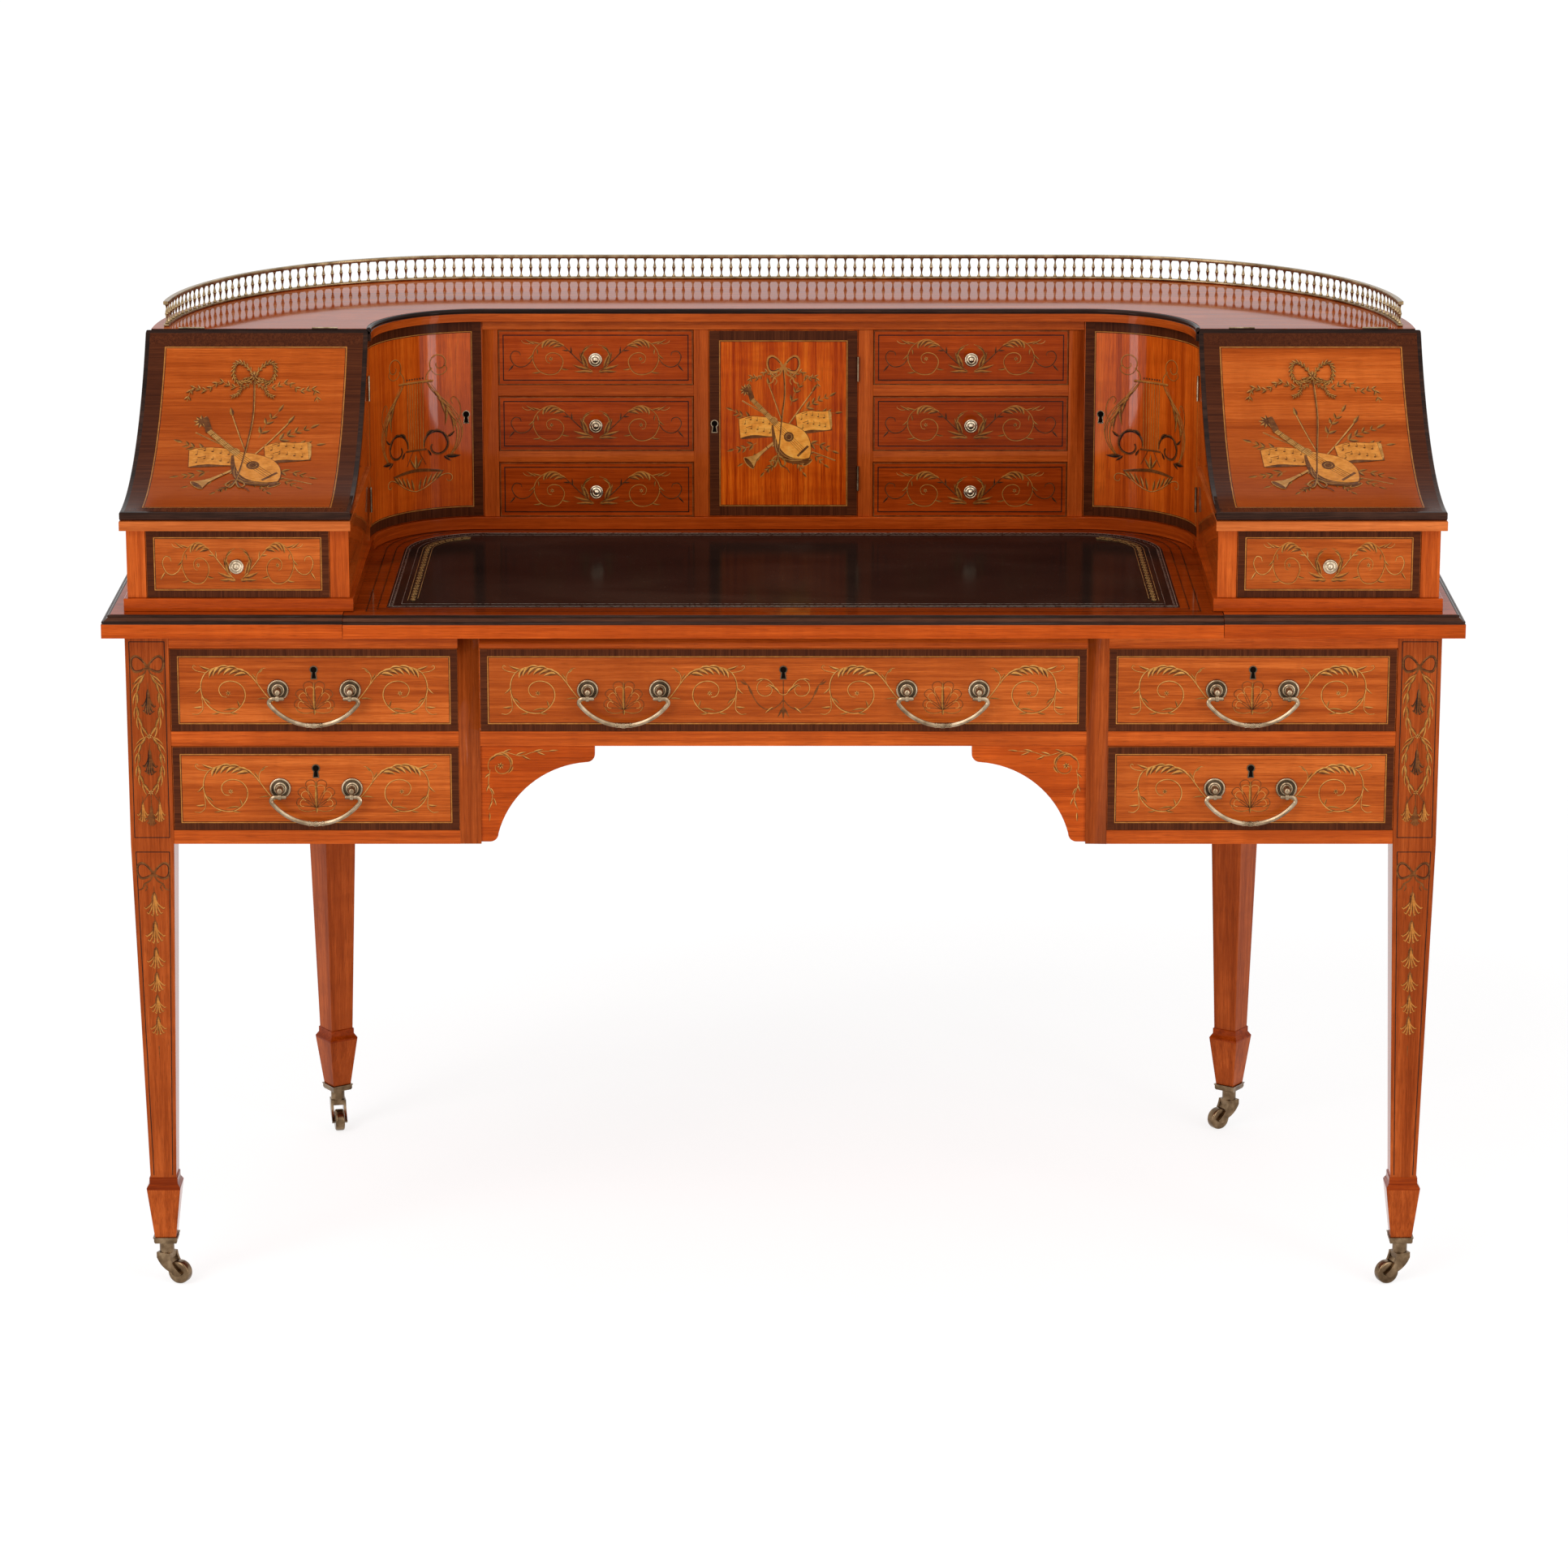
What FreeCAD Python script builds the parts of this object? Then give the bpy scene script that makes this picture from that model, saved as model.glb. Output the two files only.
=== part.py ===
"""Carlton house desk: D-shaped writing desk with drawers, cupboards, cove lids and a brass gallery.

Millimetres, +Z up, +Y to the back, origin on the floor under the middle of the desk top.
"""
import FreeCAD, Part
import math
import os

import Sketcher

Vector = FreeCAD.Vector

# Driving sizes, one named value each.
DIMS = {
    # desk top, seen from above a D with rounded back corners
    "desk_width": 1428, "desk_depth": 680, "desk_height": 750, "desk_corner": 370,
    "top_thick": 24, "top_lip": 20, "top_eave": 22, "top_bevel": 9,
    # legs and feet
    "leg_size": 46, "leg_neck": 28, "foot_size": 36, "foot_toe": 23, "collar_top": 122.5,
    "collar_low": 109, "collar_fillet": 2, "collar_slope": 7, "collar_swell": 2.5,
    "collar_flare": 0.5, "foot_low": 53, "rear_leg_turn": 34,
    # frieze with two banks of drawers and the kneehole
    "rail_high": 15, "mid_rail_high": 16, "rail_deep": 40, "upper_drawer_high": 90,
    "lower_drawer_high": 92, "knee_width": 640, "partition_thick": 22, "panel_thick": 16,
    "dust_thick": 8, "side_drawer_deep": 385, "centre_drawer_deep": 540,
    "bracket_wide": 121, "bracket_high": 105, "bracket_thick": 16, "bracket_nib": 9,
    # drawer boxes
    "reveal": 0.6, "side_play": 1, "front_thick": 18, "drawer_side": 9, "drawer_floor": 6,
    "floor_lift": 5, "side_drop": 12, "small_front": 12, "small_side": 7, "small_floor": 4,
    "small_drop": 8, "small_stop": 14, "box_drawer_deep": 270,
    # pull-out writing slide with its leather
    "slide_lap": 6, "slide_stop": 38, "slide_gap": 0.5, "leather_margin": 43,
    "leather_gap": 20, "leather_start": 44, "leather_corner": 90, "leather_thick": 1,
    # superstructure round the writing well
    "plinth_thick": 14, "plinth_edge": 4, "upper_inset": 26, "upper_setback": 6,
    "upper_high": 250, "board_thick": 14, "board_nose": 6, "board_bevel": 5, "wall_thick": 10,
    "side_box_wide": 233, "well_corner": 120,
    "box_side": 20, "side_box_high": 73.5, "ledge_thick": 10, "ledge_lip": 6, "ledge_nose": 4,
    "lid_thick": 9, "cove_start": 30, "lid_lip": 6, "lid_gap": 0.3, "lid_edge": 3,
    "outer_stile": 17, "bank_width": 218, "inner_stile": 16.5, "stile_deep": 22,
    "divider_thick": 12.5, "centre_rail": 10, "door_thick": 12, "door_bevel": 15, "door_ease": 2,
    # brass gallery
    "gallery_high": 28, "gallery_inset": 41, "gallery_rail_wide": 6, "gallery_rail_high": 4,
    "gallery_foot_high": 3, "baluster_pitch": 11, "baluster_end": 2.4, "baluster_belly": 4.6,
    # brass handles, knobs, locks and hinges
    "handle_span": 76, "handle_offset": 168, "rosette_radius": 11.5, "rosette_thick": 2.5,
    "post_out": 10, "lug_rise": 4,
    "pivot_drop": 7, "bail_wire": 2, "bail_play": 0.12, "bail_pin": 5, "bail_reach": 3,
    "bail_bend": 4, "bail_turn": 128, "lug_wide": 4, "lug_size": 7.4, "key_rise": 22,
    "key_radius": 3.6, "key_slot": 4.4, "key_drop": 10, "key_plate": 0.8,
    "lock_wide": 36, "lock_high": 30, "lock_deep": 8,
    "knob_radius": 8, "knob_out": 19, "knob_stem": 3.4, "knob_foot": 5, "knob_head": 9, "knob_crown": 4,
    "barrel_radius": 1.5, "barrel_long": 28, "barrel_out": 1.8, "barrel_end": 30,
    # casters
    "cup_size": 25, "cup_low": 46, "cup_chamfer": 2, "pin_radius": 3.5, "pin_long": 9,
    "turn_play": 0.05, "crown_radius": 8, "crown_low": 31, "crown_gap": 0.3,
    "wheel_radius": 12.7, "wheel_wide": 11, "wheel_gap": 0.4, "axle_radius": 2,
    "horn_thick": 3, "horn_eye": 6, "horn_sweep": 28, "horn_toe": 6.6, "caster_trail": 16,
    "caster_front_left": -25, "caster_front_right": 205,
    "caster_rear_left": -80, "caster_rear_right": 215,
}

# Places worked out from the driving sizes.
LAYOUT = {
    "front": "Dims.top_lip - Dims.desk_depth / 2",
    "side": "Dims.desk_width / 2 - Dims.top_eave",
    "bend_x": "Dims.desk_width / 2 - Dims.desk_corner",
    "bend_y": "Dims.desk_depth / 2 - Dims.desk_corner",
    "frieze_radius": "Dims.desk_corner - Dims.top_eave",
    "frieze_back": "bend_y + frieze_radius",
    "top_under": "Dims.desk_height - Dims.top_thick",
    "upper_z": "top_under - Dims.rail_high - Dims.upper_drawer_high",
    "lower_z": "upper_z - Dims.mid_rail_high - Dims.lower_drawer_high",
    "frieze_low": "lower_z - Dims.rail_high",
    "knee": "Dims.knee_width / 2",
    "bay_in": "knee + Dims.partition_thick",
    "bay_out": "side - Dims.leg_size",
    "bay_mid": "(bay_in + bay_out) / 2",
    "rear_leg_reach": "frieze_radius - Dims.leg_size / 2",
    "rear_leg_x": "bend_x + rear_leg_reach * sin(Dims.rear_leg_turn * 1 deg)",
    "rear_leg_y": "bend_y + rear_leg_reach * cos(Dims.rear_leg_turn * 1 deg)",
    "front_leg_x": "side - Dims.leg_size / 2",
    "front_leg_y": "front + Dims.leg_size / 2",
    "slide_half": "well_half + Dims.slide_lap",
    "slide_front": "-Dims.desk_depth / 2",
    "slide_back": "frieze_back - Dims.slide_stop",
    "slide_join": "bend_y + sqrt(Dims.desk_corner ^ 2 - (slide_half + Dims.slide_gap - bend_x) ^ 2)",
    "upper_side": "Dims.desk_width / 2 - Dims.upper_inset",
    "upper_radius": "Dims.desk_corner - Dims.upper_inset",
    "upper_back": "bend_y + upper_radius",
    "upper_front": "front + Dims.upper_setback",
    "plinth_top": "Dims.desk_height + Dims.plinth_thick",
    "well_half": "upper_side - Dims.side_box_wide",
    "well_x": "well_half - Dims.well_corner",
    "well_y": "bend_y + Dims.wall_thick",
    "well_back": "well_y + Dims.well_corner",
    "leather_half": "slide_half - Dims.leather_margin",
    "leather_near": "slide_front + Dims.leather_start",
    "leather_far": "well_back - Dims.leather_gap",
    "small_deep": "upper_back - Dims.wall_thick - Dims.small_stop - well_back",
    "ledge_z": "plinth_top + Dims.side_box_high",
    "lid_low": "ledge_z + Dims.ledge_thick",
    "board_top": "Dims.desk_height + Dims.upper_high",
    "board_under": "board_top - Dims.board_thick",
    "lid_front": "upper_front - Dims.lid_lip",
    "lid_run": "bend_y - lid_front",
    "lid_rise": "board_top - lid_low - Dims.lid_thick",
    "lid_radius": "(lid_run ^ 2 + lid_rise ^ 2) / (2 * lid_rise)",
    "lid_eye": "lid_low + Dims.lid_thick + lid_radius",
    "lid_inner": "lid_radius + Dims.lid_thick - Dims.lid_gap",
    "lid_seat": "lid_radius + Dims.lid_thick",
    "partition_back": "bend_y + sqrt((upper_radius - Dims.wall_thick) ^ 2 - max(well_x - bend_x; 0) ^ 2)",
    "bank_out": "well_x - Dims.outer_stile",
    "bank_in": "bank_out - Dims.bank_width",
    "door_half": "bank_in - Dims.inner_stile",
    "centre_top": "board_under - Dims.centre_rail",
    "row_high": "(centre_top - plinth_top - 2 * Dims.divider_thick) / 3",
    "gallery_radius": "Dims.desk_corner - Dims.gallery_inset",
    "box_in": "well_half + Dims.box_side",
    "box_out": "upper_side - Dims.box_side",
    "box_mid": "(box_in + box_out) / 2",
    "bail_side": "Dims.handle_span / 2 + Dims.lug_wide / 2 + Dims.bail_reach",
    "bail_tip": "Dims.handle_span / 2 - Dims.lug_wide / 2 - Dims.bail_pin",
    "bail_x": "bail_side + Dims.bail_bend * sin(Dims.bail_turn * 1 deg)",
    "bail_z": "Dims.bail_bend * cos(Dims.bail_turn * 1 deg) - Dims.bail_bend",
    "bail_arc": "bail_x / sin(Dims.bail_turn * 1 deg)",
}

doc = FreeCAD.newDocument("CarltonHouseDesk")


def make_sheet(name, cells):
    """A sheet with a name in column A and its aliased value in column B."""
    sheet = doc.addObject("Spreadsheet::Sheet", name)
    for row, (alias, value) in enumerate(cells.items(), start=1):
        sheet.set(f"A{row}", alias)
        sheet.set(f"B{row}", value)
        sheet.setAlias(f"B{row}", alias)
    return sheet


make_sheet("Dims", {alias: str(value) for alias, value in DIMS.items()})
layout = make_sheet("Layout", {alias: "=" + formula for alias, formula in LAYOUT.items()})
doc.recompute()


def bind(obj, **expressions):
    """Bind properties of an object to expressions of the sheets."""
    for name, expression in expressions.items():
        obj.setExpression(name.replace("__", "."), expression)
    return obj


def value_of(expression):
    """Present value of an expression, in millimetres or degrees."""
    result = layout.evalExpression(expression)
    return getattr(result, "Value", result)


def place(obj, x="0", y="0", z="0", turn=None, axis=Vector(0, 0, 1), tilt=None):
    """Put an object at x, y, z, turned about an axis by an expression or tilted once about X."""
    if tilt is not None:
        obj.Placement = FreeCAD.Placement(Vector(), FreeCAD.Rotation(Vector(1, 0, 0), tilt))
    if turn is not None:
        obj.Placement = FreeCAD.Placement(Vector(), FreeCAD.Rotation(axis, 1))
        obj.setExpression("Placement.Rotation.Angle", turn)
    return bind(obj, Placement__Base__x=x, Placement__Base__y=y, Placement__Base__z=z)


def box(name, x, y, z):
    """A board between two ends along each axis; each of x, y, z is (from, to)."""
    board = doc.addObject("Part::Box", name)
    for side, (start, end) in zip(("Length", "Width", "Height"), (x, y, z)):
        board.setExpression(side, f"({end}) - ({start})")
    return place(board, x[0], y[0], z[0])


def cylinder(name, radius, height, x="0", y="0", z="0", axis="Z", angle=None, turn=None):
    """A round bar that grows from x, y, z along +Z, +X or -Y."""
    bar = bind(doc.addObject("Part::Cylinder", name), Radius=radius, Height=height)
    if angle is not None:
        bar.setExpression("Angle", angle)
    if axis == "X":
        bar.Placement = FreeCAD.Placement(Vector(), FreeCAD.Rotation(Vector(0, 1, 0), 90))
        return bind(bar, Placement__Base__x=x, Placement__Base__y=y, Placement__Base__z=z)
    return place(bar, x, y, z, turn=turn, tilt=90 if axis == "Y" else None)


def cut(name, base, tool):
    """Base with the tool taken away."""
    result = doc.addObject("Part::Cut", name)
    result.Base = base
    result.Tool = tool
    return result


def common(name, base, tool):
    """The part of the base that lies inside the tool."""
    shared = doc.addObject("Part::Common", name)
    shared.Base = base
    shared.Tool = tool
    return shared


def fuse(name, pieces):
    """One solid from several."""
    result = doc.addObject("Part::MultiFuse", name)
    result.Shapes = pieces
    return result


def mirror(name, source):
    """The same piece on the other side of the desk."""
    result = doc.addObject("Part::Mirroring", name)
    result.Source = source
    result.Normal = Vector(1, 0, 0)
    return result


def ring_sector(name, outer, inner, z, high, x, y, start, sweep):
    """A bent board: part of a ring about x, y."""
    shell = cylinder(name + "_outer", outer, high, x, y, z, angle=sweep, turn=start)
    core = cylinder(name + "_inner", inner, high, x, y, z, angle=sweep, turn=start)
    return cut(name, shell, core)


nodes = []


def node(name, *pieces):
    """A sub-part of the desk, written to a file under this name."""
    group = doc.addObject("Part::Compound", name)
    group.Label = name
    group.Links = list(pieces)
    nodes.append(group)
    return group


def new_body(name):
    return doc.addObject("PartDesign::Body", name)


def plane_of(body, role):
    return next(item for item in body.Origin.OriginFeatures if item.Role == role)


def new_sketch(body, name, plane="XY_Plane", lift=None):
    """A sketch on one of the body's planes, lifted off it by an expression."""
    sketch = body.newObject("Sketcher::SketchObject", name)
    sketch.AttachmentSupport = [(plane_of(body, plane), "")]
    sketch.MapMode = "FlatFace"
    if lift is not None:
        sketch.setExpression("AttachmentOffset.Base.z", lift)
    return sketch


def pin_point(sketch, index, end, corner):
    """Hold one end of a sketch line at a corner given as two expressions."""
    for kind, expression in zip(("DistanceX", "DistanceY"), corner):
        rule = Sketcher.Constraint(kind, -1, 1, index, end, value_of(expression))
        number = sketch.addConstraint(rule)
        sketch.setExpression(f"Constraints[{number}]", expression)


def arc_between(start, end, radius, turn):
    """Arc from start to end; turn +1 keeps its middle on the left of the way, -1 on the right."""
    chord = end - start
    rise = math.sqrt(max(radius ** 2 - (chord.Length / 2) ** 2, 0))
    left = Vector(-chord.y, chord.x, 0).normalize()
    centre = (start + end) / 2 + left * rise * turn
    angles = [math.atan2(point.y - centre.y, point.x - centre.x) for point in (start, end)]
    circle = Part.Circle(centre, Vector(0, 0, 1), radius)
    if turn > 0:
        return Part.ArcOfCircle(circle, angles[0], angles[1])
    return Part.ArcOfCircle(circle, angles[1], angles[0])


def draw(sketch, corners, arcs=None, closed=True):
    """Draw corners joined by lines, or by arcs of (radius, turn) where arcs names the side."""
    arcs = arcs or {}
    points = [Vector(value_of(x), value_of(y), 0) for x, y in corners]
    count = len(points) if closed else len(points) - 1
    ends = []
    for side in range(count):
        start, end = points[side], points[(side + 1) % len(points)]
        if side in arcs:
            radius, turn = arcs[side]
            sketch.addGeometry(arc_between(start, end, value_of(radius), turn))
            ends.append((1, 2) if turn > 0 else (2, 1))
        else:
            sketch.addGeometry(Part.LineSegment(start, end))
            ends.append((1, 2))
    for side in range(count if closed else count - 1):
        after = (side + 1) % count
        sketch.addConstraint(Sketcher.Constraint("Coincident", side, ends[side][1], after, ends[after][0]))
    for side in range(count):
        pin_point(sketch, side, ends[side][0], corners[side])
    if not closed:
        pin_point(sketch, count - 1, ends[-1][1], corners[-1])
    for side, (radius, turn) in arcs.items():
        rule = Sketcher.Constraint("Radius", side, value_of(radius))
        number = sketch.addConstraint(rule)
        sketch.setExpression(f"Constraints[{number}]", radius)
    return sketch


def pad(body, name, sketch, length):
    feature = body.newObject("PartDesign::Pad", name)
    feature.Profile = sketch
    return bind(feature, Length=length)


def padded(name, corners, arcs, length, plane="XY_Plane", lift=None):
    """A body cut from a board: an outline on a plane, padded to a thickness."""
    body = new_body(name)
    sketch = draw(new_sketch(body, name + "_outline", plane, lift), corners, arcs)
    pad(body, name + "_pad", sketch, length)
    return body


def bevel_edges(body, name, size, wanted):
    """Bevel the edges of a body that the test accepts."""
    doc.recompute()
    base = body.Tip
    feature = body.newObject("PartDesign::Chamfer", name)
    edges = [f"Edge{n}" for n, edge in enumerate(base.Shape.Edges, start=1) if wanted(edge)]
    feature.Base = (base, edges)
    return bind(feature, Size=size)


def revolved(name, corners, arcs=None):
    """A turned body about Z, from a profile of (radius, height) corners."""
    body = new_body(name)
    sketch = draw(new_sketch(body, name + "_profile", "XZ_Plane"), corners, arcs)
    feature = body.newObject("PartDesign::Revolution", name + "_turn")
    feature.Profile = sketch
    feature.ReferenceAxis = (sketch, ["V_Axis"])
    feature.Angle = 360
    return body


def square(size):
    """Corners of a square about the origin, its size an expression."""
    half = f"({size}) / 2"
    return [(f"-{half}", f"-{half}"), (half, f"-{half}"), (half, half), (f"-{half}", half)]


def hexagon(radius):
    """Corners of a hexagon about the origin, its corner radius an expression."""
    rise = f"{radius} * sqrt(3) / 2"
    half = f"{radius} / 2"
    return [(radius, "0"), (half, rise), (f"-{half}", rise), (f"-{radius}", "0"), (f"-{half}", f"-{rise}"),
            (half, f"-{rise}")]


def post(name, levels, offset="0"):
    """A flat-sided square post from (height, size) levels, set off along X."""
    body = new_body(name)
    for number, (below, above) in enumerate(zip(levels, levels[1:]), start=1):
        taper = body.newObject("PartDesign::AdditiveWedge", f"{name}_taper{number}")
        taper.AttachmentSupport = [(plane_of(body, "XZ_Plane"), "")]
        taper.MapMode = "FlatFace"
        bind(taper, Ymin=below[0], Ymax=above[0])
        for prefix, (_, size) in (("", below), ("2", above)):
            half = f"({size}) / 2"
            taper.setExpression(f"X{prefix}min", f"{offset} - {half}")
            taper.setExpression(f"X{prefix}max", f"{offset} + {half}")
            taper.setExpression(f"Z{prefix}min", f"-{half}")
            taper.setExpression(f"Z{prefix}max", half)
    return body


# Legs, caster cups and casters.

LEG_LEVELS = [
    ("Dims.foot_low", "Dims.foot_toe"),
    ("Dims.collar_low", "Dims.foot_size"),
    ("Dims.collar_low + Dims.collar_fillet", "Dims.foot_size + Dims.collar_flare"),
    ("Dims.collar_low + Dims.collar_slope", "Dims.leg_neck + Dims.collar_swell"),
    ("Dims.collar_top - Dims.collar_flare", "Dims.leg_neck + Dims.collar_swell"),
    ("Dims.collar_top", "Dims.leg_neck"),
    ("Layout.frieze_low", "Dims.leg_size"),
    ("Layout.top_under", "Dims.leg_size"),
]

# place and turn of each leg, and the way its caster trails
CORNERS = {
    "front_left": ("-Layout.front_leg_x", "Layout.front_leg_y", "0", "Dims.caster_front_left"),
    "front_right": ("Layout.front_leg_x", "Layout.front_leg_y", "0", "Dims.caster_front_right"),
    "rear_left": ("-Layout.rear_leg_x", "Layout.rear_leg_y", "Dims.rear_leg_turn",
                  "Dims.caster_rear_left"),
    "rear_right": ("Layout.rear_leg_x", "Layout.rear_leg_y", "-Dims.rear_leg_turn",
                   "Dims.caster_rear_right"),
}


def caster_cup(name):
    """Square brass cup under a foot, with the pin that its caster turns on."""
    rim = post(name + "_rim", [
        ("Dims.cup_low", "Dims.cup_size - Dims.cup_chamfer"),
        ("Dims.cup_low + Dims.cup_chamfer", "Dims.cup_size"),
        ("Dims.foot_low - Dims.cup_chamfer", "Dims.cup_size"),
        ("Dims.foot_low", "Dims.cup_size + Dims.cup_chamfer")])
    pin = cylinder(name + "_pin", "Dims.pin_radius", "Dims.pin_long + 1", z="Dims.cup_low - Dims.pin_long")
    return fuse(name, [rim, pin])


def caster_fork(name):
    """Brass horn: a bored crown, two cheeks that trail behind it and the axle."""
    crown_top = "Dims.cup_low - Dims.crown_gap"
    crown = cylinder(name + "_crown", "Dims.crown_radius", f"{crown_top} - Dims.crown_low",
                     z="Dims.crown_low")
    bore = cylinder(name + "_bore", "Dims.pin_radius + Dims.turn_play",
                    "Dims.pin_long + Dims.turn_play", z="Dims.cup_low - Dims.pin_long - Dims.turn_play")
    gauge = "Dims.wheel_wide / 2 + Dims.wheel_gap"
    span = f"({gauge} + Dims.horn_thick)"
    bridge = box(name + "_bridge", ("-Dims.crown_radius", "Dims.crown_radius"), (f"-{span}", span),
                 ("Dims.crown_low - Dims.horn_thick", "Dims.crown_low + Dims.horn_thick"))
    cheek_corners = [
        ("-Dims.crown_radius", "Dims.crown_low + Dims.horn_thick"),
        ("-Dims.crown_radius", "Dims.crown_low - Dims.horn_thick"),
        ("Dims.caster_trail - Dims.horn_eye", "Dims.wheel_radius"),
        ("Dims.caster_trail + Dims.horn_eye", "Dims.wheel_radius"),
        ("Dims.crown_radius", "Dims.crown_low + Dims.horn_thick")]
    cheek_arcs = {1: ("Dims.horn_sweep", 1), 2: ("Dims.horn_toe", 1), 3: ("Dims.horn_sweep", -1)}
    cheeks = []
    for hand, start in (("near", f"-{span}"), ("far", gauge)):
        cheek = padded(f"{name}_{hand}", cheek_corners, cheek_arcs, "Dims.horn_thick", "XZ_Plane")
        cheeks.append(place(cheek, y=f"{start} + Dims.horn_thick"))
    axle = cylinder(name + "_axle", "Dims.axle_radius", f"2 * {span}", "Dims.caster_trail", span,
                    "Dims.wheel_radius", axis="Y")
    return cut(name + "_turned", fuse(name + "_horn", [crown, bridge, axle] + cheeks), bore)


def caster_wheel(name):
    """Brass roller with a running fit on its axle."""
    half = "Dims.wheel_wide / 2"
    bore = "Dims.axle_radius + Dims.turn_play"
    wheel = revolved(name + "_roller", [
        (bore, f"-{half}"), ("Dims.wheel_radius", f"-{half}"), ("Dims.wheel_radius", half), (bore, half)])
    return place(wheel, "Dims.caster_trail", "0", "Dims.wheel_radius", tilt=90)


legs = []
cups = []
for corner, (leg_x, leg_y, leg_turn, caster_turn) in CORNERS.items():
    legs.append(place(post(f"leg_{corner}", LEG_LEVELS), leg_x, leg_y, turn=leg_turn))
    cups.append(place(caster_cup(f"cup_{corner}"), leg_x, leg_y, turn=leg_turn))
    place(node(f"caster_fork_{corner}", caster_fork(f"fork_{corner}")), leg_x, leg_y, turn=caster_turn)
    place(node(f"caster_wheel_{corner}", caster_wheel(f"wheel_{corner}")), leg_x, leg_y, turn=caster_turn)
node("legs", *legs)
node("caster_cups", *cups)


# Frieze: bent panels round the D, the framing of the drawers, and the knee brackets.

FRIEZE_Z = ("Layout.frieze_low", "Layout.top_under")


def frieze_panels():
    """Side panels, bent corner panels let into the rear legs, and the back panel."""
    pieces = [box("frieze_back_panel", ("-Layout.bend_x", "Layout.bend_x"),
                  ("Layout.frieze_back - Dims.panel_thick", "Layout.frieze_back"), FRIEZE_Z)]
    side = box("frieze_side_panel", ("Layout.side - Dims.panel_thick", "Layout.side"),
               ("Layout.front + Dims.leg_size", "Layout.bend_y"), FRIEZE_Z)
    bend = ring_sector("frieze_bend", "Layout.frieze_radius", "Layout.frieze_radius - Dims.panel_thick",
                       FRIEZE_Z[0], f"{FRIEZE_Z[1]} - {FRIEZE_Z[0]}", "Layout.bend_x", "Layout.bend_y",
                       "0", "90")
    housing = place(padded("frieze_leg_housing", square("Dims.leg_size"), None,
                           f"{FRIEZE_Z[1]} - {FRIEZE_Z[0]}"),
                    "Layout.rear_leg_x", "Layout.rear_leg_y", FRIEZE_Z[0], turn="-Dims.rear_leg_turn")
    corner = cut("frieze_corner_panels", bend, housing)
    for piece in (side, corner):
        pieces += [piece, mirror(piece.Name + "_left", piece)]
    return pieces


def frieze_frame():
    """Top rail, drawer rails with dust boards, and the two partitions beside the kneehole."""
    depth = ("Layout.front", "Layout.front + Dims.rail_deep")
    dust = ("Layout.front + Dims.rail_deep", "Layout.front + Dims.side_drawer_deep + Dims.front_thick")
    centre_dust = (dust[0], "Layout.frieze_back - Dims.panel_thick")
    bay = ("Layout.bay_in", "Layout.bay_out")
    knee = ("-Layout.knee", "Layout.knee")
    top_rail = ("Layout.top_under - Dims.rail_high", "Layout.top_under")
    pieces = [
        box("frieze_centre_top_rail", knee, depth, top_rail),
        box("frieze_centre_rail", knee, depth, ("Layout.upper_z - Dims.mid_rail_high", "Layout.upper_z")),
        box("frieze_centre_dust", knee, centre_dust, ("Layout.upper_z - Dims.dust_thick", "Layout.upper_z"))]
    right = [
        box("frieze_partition", ("Layout.knee", "Layout.bay_in"),
            ("Layout.front", "Layout.frieze_back - Dims.panel_thick"), FRIEZE_Z),
        box("frieze_bay_top_rail", bay, depth, top_rail),
        box("frieze_mid_rail", bay, depth, ("Layout.upper_z - Dims.mid_rail_high", "Layout.upper_z")),
        box("frieze_mid_dust", bay, dust, ("Layout.upper_z - Dims.dust_thick", "Layout.upper_z")),
        box("frieze_low_rail", bay, depth, ("Layout.frieze_low", "Layout.lower_z")),
        box("frieze_low_dust", bay, dust, ("Layout.lower_z - Dims.dust_thick", "Layout.lower_z"))]
    for piece in right:
        pieces += [piece, mirror(piece.Name + "_left", piece)]
    return pieces


def knee_bracket():
    """Quarter-round spandrel between a partition and the rail over the kneehole, with a nib at each end."""
    low = "-Dims.bracket_high"
    wide = "-Dims.bracket_wide"
    nib = "Dims.bracket_nib"
    corners = [("0", "0"), (wide, "0"), (wide, f"-{nib}"), (f"{wide} + {nib}", f"-2 * {nib}"),
               (f"-2 * {nib}", f"{low} + {nib}"), (f"-{nib}", low), ("0", low)]
    arcs = {2: (nib, 1), 3: ("Dims.bracket_high", -1), 4: (nib, 1)}
    bracket = padded("knee_bracket_right", corners, arcs, "Dims.bracket_thick", "XZ_Plane")
    return place(bracket, "Layout.knee", "Layout.front + Dims.bracket_thick + 2",
                 "Layout.upper_z - Dims.mid_rail_high")


node("frieze_panels", *frieze_panels())
node("frieze_frame", *frieze_frame())
bracket = knee_bracket()
node("knee_brackets", bracket, mirror("knee_bracket_left", bracket))


# Desk top: fixed boards at the sides and back, and the pull-out slide between them.

def on_level(edge, height):
    return all(abs(vertex.Z - height) < 0.01 for vertex in edge.Vertexes)


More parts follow.
